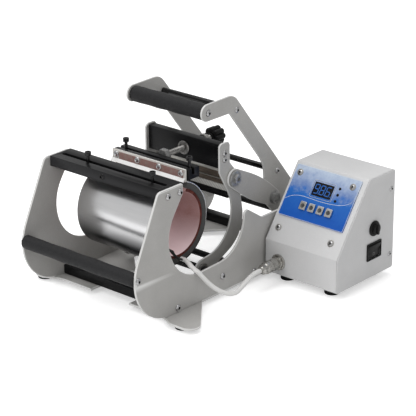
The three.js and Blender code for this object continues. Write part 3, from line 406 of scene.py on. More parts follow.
def band(shape, lower, upper):
    """Faces between two rings of the same number of points."""
    for i in range(len(lower)):
        j = (i + 1) % len(lower)
        shape.faces.new((lower[i], lower[j], upper[j], upper[i]))


def strung(shape, rings):
    """Closes a shape along its rings."""
    for lower, upper in zip(rings, rings[1:]):
        band(shape, lower, upper)
    shape.faces.new(rings[0][::-1])
    shape.faces.new(rings[-1])
    return shape


def turned(stations, sides=SIDES, place=(0, 0, 0), direction=UP, turn=0.0):
    """A closed solid through rings about an axis. A station is its height and its radius, which is a
    number or a function of the angle."""
    shape = bmesh.new()
    rings = []
    for height, radius in stations:
        ring = []
        for i in range(sides):
            angle = math.tau * i / sides
            reach = radius(angle) if callable(radius) else radius
            ring.append(shape.verts.new((reach * math.cos(angle), reach * math.sin(angle), height)))
        rings.append(ring)
    strung(shape, rings)
    shape.transform(aimed(place, direction, turn))
    return shape


def mirrored(stations, total):
    """The stations of the other end, where total is the sum of both ends' places."""
    return [(total - along, value) for along, value in reversed(stations)]


def round_profile(length, radius, rounding):
    ease = FILLET_SHARE * rounding
    ends = [(0, radius - rounding), (ease, radius - ease), (rounding, radius)]
    return ends + mirrored(ends, length)


def rod(start, end, radius, rounding=END_ROUND, sides=SIDES):
    """A round bar between two points, with rounded ends."""
    run = Vector(end) - Vector(start)
    return turned(round_profile(run.length, radius, rounding), sides, start, run)


def hexagon(apothem):
    """The radius of a hexagon at each angle, for a ring of turned()."""
    return lambda angle: apothem / math.cos((angle % (math.pi / 3)) - math.pi / 6)


def ribbed(radius, depth, count):
    """The radius of a round with ribs along it at each angle, for a ring of turned()."""
    return lambda angle: radius + depth * math.cos(count * angle)


def nut(size, place, direction, turn):
    """A hexagonal nut with a chamfered face and a bore at its outer end. Its size is half the width
    across its flats, its height and its bore's radius."""
    apothem, height, bore = size
    chamfer = 0.12 * apothem
    corner = apothem / math.cos(math.pi / 6)
    flat = hexagon(apothem)
    stations = [
        (0, flat), (height - chamfer, flat),
        (height - 0.4 * chamfer, lambda angle: min(flat(angle), corner - 0.45 * chamfer)),
        (height, 0.94 * apothem), (height, bore), (0.4 * height, bore),
    ]
    return turned(stations, SIDES, place, direction, turn)


def button_head(head, place, direction, turn=0.3):
    """A domed screw head with a hexagonal socket."""
    radius, height = head
    socket = SOCKET_SHARE * radius
    stations = [(share * height, ring * radius) for share, ring in BUTTON_HEAD_SHARES]
    stations += [
        (height, hexagon(socket)), (height * (1 - SOCKET_DEPTH_SHARE), hexagon(0.96 * socket)),
    ]
    return turned(stations, SMALL_SIDES, place, direction, turn)


def cap_head(head, place):
    """A cylindrical screw head with a hexagonal socket, facing up."""
    radius, height = head
    socket = 0.52 * radius
    ease = 0.12 * radius
    stations = [
        (0, 0.8 * radius), (ease, radius), (height - ease, radius),
        (height - FILLET_SHARE * ease, radius - FILLET_SHARE * ease), (height, radius - 1.6 * ease),
        (height, 1.2 * socket), (height, hexagon(socket)), (0.45 * height, hexagon(0.96 * socket)),
    ]
    return turned(stations, SMALL_SIDES, place)


def dome(head, place, direction):
    """A rivet's plain domed head."""
    radius, height = head
    angles = [math.pi / 12 * i for i in range(1, 7)]
    stations = [(0, radius)]
    stations += [(height * math.sin(a), radius * max(math.cos(a), 0.02)) for a in angles]
    return turned(stations, SMALL_SIDES, place, direction)


def threaded(start, end, radius, pitch, depth):
    """A rod whose surface climbs in a helix of the given pitch."""
    run = Vector(end) - Vector(start)
    steps = int(run.length / pitch * 6)

    def flank(height):
        def reach(angle):
            phase = (height / pitch - angle / math.tau) % 1
            return radius - depth * abs(2 * phase - 1)
        return reach

    heights = [run.length * i / steps for i in range(steps + 1)]
    return turned([(height, flank(height)) for height in heights], SMALL_SIDES, start, run)


AXES = {"X": (1, 2), "Z": (0, 1)}
ACROSS = {"X": 0, "Z": 2}


def outline_of(node, axis="X"):
    """The loops round a solid's flat end face, in the other two axes: the outer one first,
    anticlockwise, then the holes, clockwise. They are the edges that only one triangle has."""
    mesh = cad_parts[node].data
    across = ACROSS[axis]
    first, second = AXES[axis]
    top = max(vertex.co[across] for vertex in mesh.vertices)
    edges = set()
    for polygon in mesh.polygons:
        corners = [mesh.vertices[i].co for i in polygon.vertices]
        if any(abs(corner[across] - top) > 10 * POINT_STEP for corner in corners):
            continue
        keys = [(round(c[first] / POINT_STEP), round(c[second] / POINT_STEP)) for c in corners]
        for edge in zip(keys, keys[1:] + keys[:1]):
            if edge[::-1] in edges:
                edges.remove(edge[::-1])
            else:
                edges.add(edge)
    ends = dict(edges)
    loops = []
    while ends:
        start, point = ends.popitem()
        loop = [start]
        while point != start:
            loop.append(point)
            point = ends.pop(point)
        loops.append([Vector(key) * POINT_STEP for key in loop])
    return sorted(loops, key=spread, reverse=True)


def spread(loop):
    return max(point.x for point in loop) - min(point.x for point in loop)


def corners_of(loop):
    """Each point of a closed loop between its neighbours."""
    return zip(loop[-1:] + loop[:-1], loop, loop[1:] + loop[:1])


def inset(loop, distance):
    """The loop moved into the material by a distance, with mitred corners."""
    moved = []
    for before, point, after in corners_of(loop):
        first, second = (edge.normalized().orthogonal() for edge in (point - before, after - point))
        scale = max(1 + first.dot(second), 0.3)
        moved.append(point + (first + second) * (distance / scale))
    return moved


def softened(loop, radius):
    """The loop with each corner cut back and rounded by one more point."""
    points = []
    for before, point, after in corners_of(loop):
        start = point + (before - point).normalized() * radius
        end = point + (after - point).normalized() * radius
        points += [start, point.lerp((start + end) / 2, 0.58), end]
    return points


def rounded_loop(low, high, radius, grow=0, steps=5):
    """A rectangle's outline with round corners, anticlockwise. Its corners are drawn out by grow."""
    left, start = low[0] - grow + radius, low[1] - grow + radius
    right, end = high[0] + grow - radius, high[1] + grow - radius
    loop = []
    for x, y, begin in ((right, start, -90), (right, end, 0), (left, end, 90), (left, start, 180)):
        for i in range(steps + 1):
            angle = math.radians(begin + 90 * i / steps)
            loop.append(Vector((x + radius * math.cos(angle), y + radius * math.sin(angle))))
    return loop


def lofted(loops, stations, axis="X"):
    """A closed solid through copies of the same loops. A station is its place along the axis and the
    loops' inset."""
    shape = bmesh.new()
    across = ACROSS[axis]
    first, second = AXES[axis]

    def vertex(along, point):
        place = [0.0, 0.0, 0.0]
        place[across], place[first], place[second] = along, *point
        return shape.verts.new(place)

    rows = [
        [[vertex(along, point) for point in inset(loop, distance)] for loop in loops]
        for along, distance in stations
    ]
    for lower, upper in zip(rows, rows[1:]):
        for low_ring, high_ring in zip(lower, upper):
            band(shape, low_ring, high_ring)
    for row in (rows[0], rows[-1]):
        flat = sum(row, [])
        outline = [[Vector((v.co[first], v.co[second], 0)) for v in ring] for ring in row]
        for triangle in tessellate_polygon(outline):
            if len({flat[i] for i in triangle}) == 3:
                shape.faces.new([flat[i] for i in triangle])
    bmesh.ops.recalc_face_normals(shape, faces=shape.faces)
    return shape


def rounded_ends(low, high, rounding):
    """Stations of a plate whose edges are rounded."""
    ease = FILLET_SHARE * rounding
    ends = [(low, rounding), (low + ease, ease), (low + rounding, 0)]
    return ends + mirrored(ends, low + high)


def plate(loops, low, high, axis="X", rounding=PLATE_ROUND):
    flat = (1 + FLAT_MARGIN) * rounding
    return lofted(loops, [(low, flat), *rounded_ends(low, high, rounding), (high, flat)], axis)


def block(low, high, rounding=BAR_ROUND):
    """A bar between two corners, with rounded edges."""
    low, high = Vector(low), Vector(high)
    shape = bmesh.new()
    bmesh.ops.create_cube(shape, size=1)
    shape.transform(Matrix.Translation((low + high) / 2) @ Matrix.Diagonal((*(high - low), 1)))
    bmesh.ops.bevel(
        shape, geom=shape.edges[:], offset=rounding, offset_type="OFFSET", segments=3, profile=0.5,
        affect="EDGES", clamp_overlap=True,
    )
    return shape


def tube(points, radius, sides):
    """A closed round tube along points."""
    shape = bmesh.new()
    rings = []
    side = None
    for before, point, after in zip(points[:1] + points[:-1], points, points[1:] + points[-1:]):
        ahead = (after - before).normalized()
        side = ahead.orthogonal() if side is None else side - ahead * side.dot(ahead)
        side.normalize()
        other = ahead.cross(side)
        rings.append([
            shape.verts.new(point + radius * (math.cos(a) * side + math.sin(a) * other))
            for a in (math.tau * i / sides for i in range(sides))
        ])
    return strung(shape, rings)


def smooth_path(points, steps=8):
    """Points along a centripetal Catmull-Rom curve through the given points."""
    points = [Vector(point) for point in points]
    ends = [points[0] * 2 - points[1], *points, points[-1] * 2 - points[-2]]
    path = []
    for before, start, end, after in zip(ends, ends[1:], ends[2:], ends[3:]):
        spans = [(b - a).length ** 0.5 for a, b in ((before, start), (start, end), (end, after))]
        leave = ((start - before) / spans[0] - (end - before) / (spans[0] + spans[1])
                 + (end - start) / spans[1]) * spans[1]
        arrive = ((end - start) / spans[1] - (after - start) / (spans[1] + spans[2])
                  + (after - end) / spans[2]) * spans[1]
        for i in range(steps):
            t = i / steps
            path.append(
                start * (2 * t**3 - 3 * t**2 + 1) + leave * (t**3 - 2 * t**2 + t)
                + end * (3 * t**2 - 2 * t**3) + arrive * (t**3 - t**2)
            )
    return path + [points[-1]]


def add(name, material, shapes, node=None, body="frame"):
    """A piece made of one or more shapes, which rides on a body and may stand for a solid."""
    whole = bmesh.new()
    for shape in shapes:
        part = bpy.data.meshes.new("part")
        shape.to_mesh(part)
        shape.free()
        whole.from_mesh(part)
        bpy.data.meshes.remove(part)
    mesh = bpy.data.meshes.new(name)
    whole.to_mesh(mesh)
    whole.free()
    mesh.materials.append(material)
    mesh.shade_smooth()
    mesh.set_sharp_from_angle(angle=SMOOTH_ANGLE)
    piece = bpy.data.objects.new(name, mesh)
    bpy.context.scene.collection.objects.link(piece)
    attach(piece, body)
    if node:
        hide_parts(node)
    return piece


# Places that the pieces share

def box_of(node):
    """A solid's corners and its middle."""
    low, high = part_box(node)
    return low, high, (low + high) / 2


def middle_of(node):
    return box_of(node)[2]


def between(left, right):
    """Where a bar from one sheet to the next one starts and ends in X."""
    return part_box(left)[1].x + FACE_GAP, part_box(right)[0].x - FACE_GAP


PLATES = between("side_plate_left", "side_plate_right")
ARMS = between("swing_arm_left", "swing_arm_right")
MIDDLE_X = sum(PLATES) / 2
PLATE_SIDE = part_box("side_plate_right")[1].x - MIDDLE_X + FACE_GAP
ARM_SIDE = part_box("swing_arm_right")[1].x - MIDDLE_X


def both_sides(x):
    """Each side's sign and the X at that distance from the middle plane."""
    return [(side, MIDDLE_X + side * x) for side in (-1, 1)]


def spanned(node, span=PLATES):
    """A solid's corners and middle, without the studs and heads that reach past the span."""
    low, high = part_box(node)
    low.x, high.x = span
    return low, high, (low + high) / 2


def at_x(place, x):
    return Vector((x, place.y, place.z))


def cross_rod(node, radius, span=PLATES):
    middle = middle_of(node)
    return rod(at_x(middle, span[0]), at_x(middle, span[1]), radius)


def sheet_of(node, rounding=PLATE_ROUND, axis="X"):
    """A plate with a solid's own outline and rounded edges."""
    low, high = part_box(node)
    across = ACROSS[axis]
    return plate(outline_of(node, axis), low[across], high[across], axis, rounding)


# The lead and its connector: the lead's route from the heater's right end to its plug, as the solid
# takes it, and rows of distance along the connector and radius
LEAD_DIAMETER = 0.006
LEAD_SHIFT = Vector((-0.04675, -0.0631, 0))
LEAD_POINTS = [
    (0.0602, 0.005, 0.0536), (0.067, 0.0048, 0.0536), (0.076, 0.0008, 0.0534), (0.086, -0.0046, 0.0529),
    (0.094, -0.0078, 0.0524), (0.099, -0.008, 0.0509), (0.104, -0.0052, 0.0448), (0.110, -0.0005, 0.0364),
    (0.118, 0.0056, 0.0286), (0.126, 0.015, 0.0226), (0.1295, 0.026, 0.0208), (0.1276, 0.040, 0.023),
    (0.1234, 0.060, 0.027), (0.121, 0.075, 0.0283), (0.121, 0.0839, 0.0283),
]
LEAD_ROUTE = [Vector(point) + LEAD_SHIFT for point in LEAD_POINTS]
LEAD_STEPS = 10
SOCKET_FLANGE = [
    (0, 0.0105), (0.0004, 0.0105), (0.0017, 0.0105), (0.0021, 0.0101), (0.0022, 0.0086), (0.0010, 0.0084),
    (0.0010, 0.0066),
]
SOCKET_NUT = (0.0082, 0.0040, 0.0060)
SOCKET_NUT_LIFT = 0.0012
PLUG_KNURL = ribbed(0.0079, 0.0000632, 36)
PLUG_RIBS = ribbed(0.0066, 0.0000792, 24)
PLUG_PROFILE = [
    (0.0026, 0.0070), (0.0028, 0.0079), (0.0034, 0.0080), (0.0046, 0.0080), (0.0048, 0.0072),
    (0.0056, 0.0072), (0.0058, 0.0077), (0.0150, 0.0077), (0.0154, 0.0070), (0.0160, 0.0070),
    (0.0162, PLUG_KNURL), (0.0240, PLUG_KNURL), (0.0244, 0.0070), (0.0262, 0.0062),
    (0.0264, PLUG_RIBS), (0.0300, PLUG_RIBS), (0.0312, 0.0050),
]
PLUG_END_RADIUS = 0.0044
PLUG_SIDES = 144


def add_connector():
    low, high, (x, _, z) = box_of("lead_socket")
    flange = turned(SOCKET_FLANGE, SIDES, (x, high.y, z), FORWARD)
    locknut = nut(SOCKET_NUT, (x, high.y - SOCKET_NUT_LIFT, z), FORWARD, NUT_TURN)
    add("lead_socket_set", CONNECTOR, [flange, locknut], "lead_socket")
    low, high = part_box("lead_plug")
    profile = [*PLUG_PROFILE, (high.y - low.y, PLUG_END_RADIUS)]
    plug = turned(profile, PLUG_SIDES, (x, high.y, z), FORWARD)
    return add("lead_plug_shell", CONNECTOR, [plug], "lead_plug")


def add_lead(plug):
    path = smooth_path(LEAD_ROUTE, LEAD_STEPS)
    curve = bpy.data.curves.new("heater_lead_jacket", "CURVE")
    curve.dimensions = "3D"
    curve.bevel_depth = LEAD_DIAMETER / 2
    curve.bevel_resolution = 8
    curve.use_fill_caps = True
    spline = curve.splines.new("POLY")
    spline.points.add(len(path) - 1)
    for point, place in zip(spline.points, path):
        point.co = (*place, 1)
    curve.materials.append(JACKET)
    lead = bpy.data.objects.new("heater_lead_jacket", curve)
    bpy.context.scene.collection.objects.link(lead)
    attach(lead, "frame")
    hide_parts("heater_lead")


# Sheet metal, rubber pads and screws

def add_plates():
    for body, axis, kind in (
        ("frame", "X", "side_plate"), ("frame", "Z", "foot_plate"), ("swing", "X", "swing_arm"),
        ("handle", "X", "handle_arm"), ("links", "X", "link"),
    ):
        for side in ("left", "right"):
            node = f"{kind}_{side}"
            add(f"{node}_sheet", FRAME_COAT, [sheet_of(node, axis=axis)], node, body)


# Rows of distance from the pad's end and how far it is drawn in there
PAD_FOOT = [(0, 0.0012), (0.0003, 0.0004), (0.001, 0)]
PAD_TOP = [(0.0006, 0.0003), (0, 0.001)]


def add_pads(kind):
    for end in ("front", "rear"):
        for side in ("left", "right"):
            node = f"{kind}_{end}_{side}"
            low, high, (x, y, _) = box_of(node)
            radius = (high.x - low.x) / 2
            height = high.z - low.z
            profile = [(along, radius - pinch) for along, pinch in PAD_FOOT]
            profile += [(height - along, radius - pinch) for along, pinch in PAD_TOP]
            add(f"{node}_rubber", PAD_RUBBER, [turned(profile, SIDES, (x, y, low.z))], node)


def add_heads(name, head, rows, body):
    """Chrome button heads, each with a dark disc in its socket as painted shade. A row is a place, a
    direction and a turn.
    """
    radius, height = head
    add(name, CHROME, [button_head(head, *row) for row in rows], body=body)
    socket = hexagon(SOCKET_DISC_SHARE * SOCKET_SHARE * radius)
    floor = height * (1 - SOCKET_DEPTH_SHARE)
    profile = [(floor / 2, socket), (floor + SOCKET_DISC_RISE, socket)]
    # Painted shade: a dark disc on each socket floor.
    socket_shade_discs = [turned(profile, SMALL_SIDES, *row) for row in rows]
    add(f"{name}_socket_shade", PAD_RUBBER, socket_shade_discs, body=body)


def side_screws(name, places, body="frame", turn=0.0):
    """Button heads at places (Y, Z), outside both side plates or, on a moving body, both arms."""
    on_plates = body == "frame"
    step = PLATE_HEAD_TURN if on_plates else 0
    rows = [
        ((x, y, z), (side, 0, 0), turn + step * i)
        for i, (y, z) in enumerate(places)
        for side, x in both_sides(PLATE_SIDE if on_plates else ARM_SIDE)
    ]
    add_heads(name, PLATE_HEAD if on_plates else ARM_HEAD, rows, body)


# Bars
FRONT_SLOT_WIDTH = 0.0058
FRONT_SLOT_END = 0.0065
REAR_SLOT_WIDTH = 0.0046
SLOT_DEPTH = 0.008
SLOT_HEAD = (0.0039, 0.0052)
SLOT_NECK_RADIUS = 0.002
FRONT_BAR_SCREW_SETBACK = 0.017
FRONT_BAR_SCREW_RISE = 0.0037
FRONT_BAR_SCREW_HALF_SPACING = 0.0105
FACE_SCREW_HEAD = (0.0042, 0.0018)
FACE_SCREW_SHIFT = -0.004
FACE_SCREW_RISE = 0.0070


def closed_slot_bar(low, high, slot_y):
    """A bar whose slot stops short of both ends: a solid lower half under a ring."""
    floor = high.z - SLOT_DEPTH
    half = FRONT_SLOT_WIDTH / 2
    outer = rounded_loop(low, high, BAR_ROUND, steps=3)
    slot = rounded_loop(
        (low.x + FRONT_SLOT_END, slot_y - half), (high.x - FRONT_SLOT_END, slot_y + half), half - POINT_STEP,
    )
    ends = rounded_ends(low.z, high.z, BAR_ROUND)
    lower = lofted([outer], [*ends[:3], (floor, 0)], "Z")
    return [lower, lofted([outer, slot[::-1]], [(floor, 0), *ends[3:]], "Z")]


def open_slot_bar(low, high, slot_y):
    start, end = slot_y - REAR_SLOT_WIDTH / 2, slot_y + REAR_SLOT_WIDTH / 2
    floor = high.z - SLOT_DEPTH
    corners = [
        (low.y, low.z), (high.y, low.z), (high.y, high.z), (end, high.z), (end, floor), (start, floor),
        (start, high.z), (low.y, high.z),
    ]
    loop = softened([Vector(corner) for corner in corners], EASED_ROUND)
    return plate([loop], low.x, high.x, "X", EASED_ROUND)


def add_slot_screws(end, body):
    for side in ("left", "right"):
        node = f"{end}_slot_screw_{side}"
        low, high, (x, y, _) = box_of(node)
        seat = high.z - SLOT_HEAD[1]
        neck = rod((x, y, low.z), (x, y, seat + FACE_GAP), SLOT_NECK_RADIUS, sides=SMALL_SIDES)
        add(f"{node}_set", BLACK_SCREW, [neck, cap_head(SLOT_HEAD, (x, y, seat))], node, body)


def add_front_bar():
    low, high, _ = spanned("front_bar")
    bar = closed_slot_bar(low, high, middle_of("front_slot_screw_left").y)
    add("front_bar_slotted", BLACK_ALONG_X, bar, "front_bar")
    add_slot_screws("front", "frame")
    stud_y = high.y - FRONT_BAR_SCREW_SETBACK
    side_screws("front_bar_screws", [
        (stud_y + end * FRONT_BAR_SCREW_HALF_SPACING, low.z + FRONT_BAR_SCREW_RISE) for end in (-1, 1)
    ])
    place = (MIDDLE_X + FACE_SCREW_SHIFT, low.y, low.z + FACE_SCREW_RISE)
    face = button_head(FACE_SCREW_HEAD, place, FORWARD)
    add("front_bar_face_screw", BLACK_SCREW, [face])


# Grips: rows of distance from the end and how far the foam is drawn in there, then its faint waves
GRIP_ENDS = [(0, 0.0016), (0.0004, 0.0007)]
GRIP_LIP = 0.0014
GRIP_PINCH = 0.0003
GRIP_SWELL = 0.0003
GRIP_WAVES = 3.5
GRIP_STEPS = 24


def grip_sleeve(node, span):
    """A foam-rubber sleeve, a little pinched towards its ends."""
    low, high, middle = spanned(node, span)
    radius = (high.z - low.z) / 2
    length = high.x - low.x
    ends = [(along, radius - pinch) for along, pinch in GRIP_ENDS]
    waves = []
    for i in range(GRIP_STEPS + 1):
        share = i / GRIP_STEPS
        swell = GRIP_SWELL * math.sin(math.tau * share * GRIP_WAVES) * math.sin(math.pi * share)
        waves.append((GRIP_LIP + share * (length - 2 * GRIP_LIP), radius - GRIP_PINCH + swell))
    return turned([*ends, *waves, *mirrored(ends, length)], SIDES, at_x(middle, low.x), RIGHT)


def add_grips():
    add("front_grip_sleeve", RUBBER, [grip_sleeve("front_grip", PLATES)], "front_grip")
    side_screws("front_grip_screws", [middle_of("front_grip").yz])
    add("handle_grip_sleeve", RUBBER, [grip_sleeve("handle_grip", ARMS)], "handle_grip", "handle")


def add_low_bars():
    places = []
    for label in ("front", "middle", "rear"):
        node = f"cross_bar_{label}"
        low, high, middle = spanned(node)
        if label == "middle":
            shape = cross_rod(node, (high.z - low.z) / 2)
        else:
            shape = block(low, high, BROAD_ROUND)
        add(f"{node}_bar", BLACK_ALONG_X, [shape], node)
        places.append(middle.yz)
    side_screws("cross_bar_screws", places)


# Shafts
SWING_SHAFT_RADIUS = 0.005
ROD_RADIUS = 0.004
BUSH_LENGTH = 0.003


def add_shafts():
    add("swing_shaft_rod", BLACK_ROD, [cross_rod("swing_shaft", SWING_SHAFT_RADIUS)], "swing_shaft")
    low, high, middle = spanned("swing_shaft")
    bushes = [
        rod(at_x(middle, x), at_x(middle, x + side * BUSH_LENGTH), (high.z - low.z) / 2, EASED_ROUND)
        for side, x in both_sides(ARM_SIDE + FACE_GAP)
    ]
    add("swing_shaft_bushes", ZINC, bushes)
    add("handle_shaft_rod", BLACK_ROD, [cross_rod("handle_shaft", ROD_RADIUS)], "handle_shaft")
    side_screws("shaft_screws", [middle_of(node).yz for node in ("swing_shaft", "handle_shaft")])


# Heater, and the wires that come out of its mat: their angles round the heater's axis, the middle
# wire's bends in the lead's own numbers, and how far apart the wires run
WIRE_ANGLES = (226, 231, 236)
WIRE_RING = 0.041
WIRE_DEPTH = 0.001
WIRE_RADIUS = 0.00095
WIRE_SIDES = 10
WIRE_BENDS = [(0.0636, -0.0180, 0.0735), (0.0640, -0.0136, 0.0672), (0.0644, -0.0050, 0.0585)]
WIRE_SPREAD = Vector((0.0008, 0.0017, -0.0012))
WIRE_END = Vector((0.0035, 0, 0))
WIRE_END_SPREAD = Vector((0, 0.0012, -0.0006))


def add_heater():
    for node, material, rounding in (
        ("heater_mat", SILICONE, SOFT_ROUND), ("heater_insulation", FELT, SOFT_ROUND),
        ("heater_band", BAND_STEEL, FINE_ROUND),
    ):
        add(f"{node}_layer", material, [sheet_of(node, rounding)], node)


def add_heater_wires():
    """Three dark wires come out of the mat's end and join the lead's jacket."""
    low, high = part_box("heater_mat")
    axis = Vector((high.x - WIRE_DEPTH, (low.y + high.y) / 2, low.z + (high.y - low.y) / 2))
    wires = []
    for step, angle in zip((-1, 0, 1), WIRE_ANGLES):
        away = Vector((0, math.cos(math.radians(angle)), math.sin(math.radians(angle))))
        bends = [Vector(point) + LEAD_SHIFT + step * WIRE_SPREAD for point in WIRE_BENDS]
        end = LEAD_ROUTE[0] + WIRE_END + step * WIRE_END_SPREAD
        path = smooth_path([axis + WIRE_RING * away, *bends, end])
        wires.append(tube(path, WIRE_RADIUS, WIRE_SIDES))
    add("heater_wires", WIRE_SLEEVE, wires)


# Rear clamp: its tray's face, the strip on it, the rivets and the pale flange under the strip
TRAY_SETBACK = 0.003
STRIP_LOW = Vector((0.0117, -0.0005, -0.0112))
STRIP_HIGH = Vector((-0.003, 0.0003, -0.0020))
RIVET_HEAD = (0.0042, 0.0032)
RIVET_SINK = 0.0001
RIVET_INSET = 0.007
RIVET_SHARES = (-1, -1 / 3, 1 / 3, 1)
RIVET_RISE = 0.0103
FLANGE_DROP = 0.0116
FLANGE_RUN = Vector((-0.0029, -0.0041))
FLANGE_THICKNESS = 0.0012
FLANGE_INSET = 0.0005


def add_rear_clamp():
    low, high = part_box("rear_clamp_bar")
    bar = open_slot_bar(low, high, middle_of("rear_slot_screw_left").y)
    add("rear_clamp_bar_slotted", BLACK_ALONG_X, [bar], "rear_clamp_bar", "rear_clamp")
    add_slot_screws("rear", "rear_clamp")
    flap = block(*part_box("heater_rear_flap"), END_ROUND)
    add("rear_flap_sheet", WHITE_CLOTH, [flap], "heater_rear_flap", "rear_clamp")
    low, high, middle = box_of("rear_clamp_plate")
    low.y += TRAY_SETBACK
    tray = block(low, high, END_ROUND)
    add("rear_clamp_plate_tray", CLAMP_METAL, [tray], "rear_clamp_plate", "rear_clamp")
    edge = Vector((0, low.y, high.z))
    strip = block(at_x(edge, low.x) + STRIP_LOW, at_x(edge, high.x) + STRIP_HIGH, THIN_ROUND)
    add("rear_clamp_strip", WOVEN, [strip], body="rear_clamp")
    half = (high.x - low.x) / 2 - RIVET_INSET
    places = [
        (middle.x + share * half, low.y - RIVET_SINK, low.z + RIVET_RISE) for share in RIVET_SHARES
    ]
    domes = [dome(RIVET_HEAD, place, FORWARD) for place in places]
    add("rear_clamp_rivets", CHROME, domes, body="rear_clamp")
    foot = Vector((low.y, high.z - FLANGE_DROP))
    thick = FLANGE_RUN.orthogonal().normalized() * FLANGE_THICKNESS
    loop = [foot + FLANGE_RUN, foot + FLANGE_RUN - thick, foot - thick, foot]
    flange = plate([loop], low.x + FLANGE_INSET, high.x - FLANGE_INSET, "X", THIN_ROUND)
    add("rear_clamp_flange", WHITE_CLOTH, [flange], body="rear_clamp")


# Pressure screw. A knob's row is its distance from that end, its share of the radius and its share of
# the lobes' depth
THRUST_WIDTH = 0.0074
THRUST_BORE = 0.0041
THREAD_RADIUS = 0.00372
THREAD_PITCH = 0.00125
THREAD_DEPTH = 0.0003
LOCK_NUT = [(0, 0.0074), (0.0004, hexagon(0.0069)), (0.0056, hexagon(0.0069)), (0.006, 0.0068)]
LOCK_NUT_HALF = 0.003
LOCK_NUT_REACH = 0.006
KNOB_LOBES = 8
KNOB_LOBE_DEPTH = 0.0029
KNOB_LOBE_POWER = 0.8
KNOB_SIDES = 96
KNOB_BORE = 0.0062
KNOB_COLLAR_RADIUS = 0.0056
KNOB_COLLAR_LENGTH = 0.0022
KNOB_COLLAR_SINK = 0.001
KNOB_FRONT = [(0, 0.80, 0.5), (0.0006, 0.92, 0.8), (0.0018, 0.99, 1), (0.0026, 1, 1)]
KNOB_BACK = [(0.0026, 1, 1), (0.0018, 0.985, 1), (0.0006, 0.92, 0.8), (0, 0.78, 0.5)]
KNOB_HOLLOW = [(0, 0.0072), (0.0008, 0.0066), (0.0008, 0.002)]


def add_pressure_screw():
    low, high, (x, _, z) = box_of("thrust_cup")
    cup = nut((THRUST_WIDTH, high.y - low.y, THRUST_BORE), (x, low.y, z), BACK, NUT_TURN)
    add("thrust_nut", BOLT_METAL, [cup], "thrust_cup", "rear_clamp")
    low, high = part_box("pressure_rod")
    thread = threaded((x, low.y, z), (x, high.y, z), THREAD_RADIUS, THREAD_PITCH, THREAD_DEPTH)
    lock = turned(LOCK_NUT, SIDES, (x, lock_nut_y() - LOCK_NUT_HALF, z), BACK)
    add("pressure_rod_thread", ZINC, [thread, lock], "pressure_rod", "pressure_screw")
    add_knob(x, z)


def lock_nut_y():
    """Where the rod's solid is widest."""
    middle_z = middle_of("pressure_rod").z
    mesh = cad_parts["pressure_rod"].data
    wide = [v.co.y for v in mesh.vertices if abs(v.co.z - middle_z) > LOCK_NUT_REACH]
    return (min(wide) + max(wide)) / 2


def add_knob(x, z):
    low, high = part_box("pressure_knob")
    radius = (high.z - low.z) / 2
    width = high.y - low.y

    def lobes(share, depth_share):
        def reach(angle):
            dip = 1 - abs(math.cos(KNOB_LOBES * angle / 2)) ** KNOB_LOBE_POWER
            return share * radius - depth_share * KNOB_LOBE_DEPTH * dip
        return reach

    profile = [(0, KNOB_BORE), *((along, lobes(*shares)) for along, *shares in KNOB_FRONT)]
    profile += [(width - along, lobes(*shares)) for along, *shares in KNOB_BACK]
    profile += [(width - along, reach) for along, reach in KNOB_HOLLOW]
    knob = turned(profile, KNOB_SIDES, (x, low.y, z), BACK)
    start, end = low.y - KNOB_COLLAR_LENGTH, low.y + KNOB_COLLAR_SINK
    collar = rod((x, start, z), (x, end, z), KNOB_COLLAR_RADIUS, EASED_ROUND)
    add("pressure_knob_star", BLACK_PLASTIC, [knob, collar], "pressure_knob", "pressure_screw")


# Swinging frame, with two dark brown metal strips between the beam and the tie bar, dark partly as
# painted shade under the beam, each with a light steel lip that is a painted highlight: rows of height over
# the tie bar and depth
BEAM_BUSH = [(0, 0.0090), (0.0012, 0.0090), (0.0018, 0.0085), (0.0018, 0.0062), (0.0004, 0.0058)]
BEAM_SCREW_INSET = 0.0117
LOW_TIE_BAR_HEIGHT = 0.009
GUIDE_STRIPS = ((0.0083, 0.0080), (0.0006, 0.0062))
STRIP_THICKNESS = 0.0025
STRIP_EDGE = ((-0.0008, 0.0045), 0.0012)


def add_swing_frame():
    low, high, middle = spanned("pressure_beam", ARMS)
    beam = block(low, high, SOFT_ROUND)
    add("pressure_beam_block", BLACK_ALONG_X, [beam], "pressure_beam", "swing")
    axis = middle_of("thrust_cup")
    bush = turned(BEAM_BUSH, SIDES, (axis.x, low.y, axis.z), FORWARD)
    add("beam_bush", ZINC, [bush], body="swing")
    heights = (low.z + BEAM_SCREW_INSET, high.z - BEAM_SCREW_INSET)
    side_screws("beam_screws", [(middle.y, z) for z in heights], "swing", 0.3)
    low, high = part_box("arm_tie_bar")
    split = low.z + LOW_TIE_BAR_HEIGHT
    upper = block((low.x, low.y, split), high, SOFT_ROUND)
    lower = block(low, (high.x, high.y, split), SOFT_ROUND)
    add("arm_tie_bar_hatched", HATCHED, [upper], "arm_tie_bar", "swing")
    add("arm_tie_bar_black", BLACK_ALONG_X, [lower], body="swing")
    (front, back), thickness = STRIP_EDGE
    bronze_and_shade = []
    edges = []
    for rise, depth in GUIDE_STRIPS:
        foot = high.z + rise
        top = foot + depth
        # Painted shade: the strips' dark brown stands partly for the shade under the beam.
        bronze_and_shade.append(block((low.x, low.y, foot), (high.x, low.y + STRIP_THICKNESS, top), FINE_ROUND))
        # Painted highlight: the light steel lip on each strip's top edge.
        edges.append(block((low.x, low.y + front, top), (high.x, low.y + back, top + thickness), FINE_ROUND))
    add("guide_strips", BRONZE_AND_SHADE, bronze_and_shade, body="swing")
    add("guide_strip_highlight_lips", PLATE_STEEL, edges, body="swing")


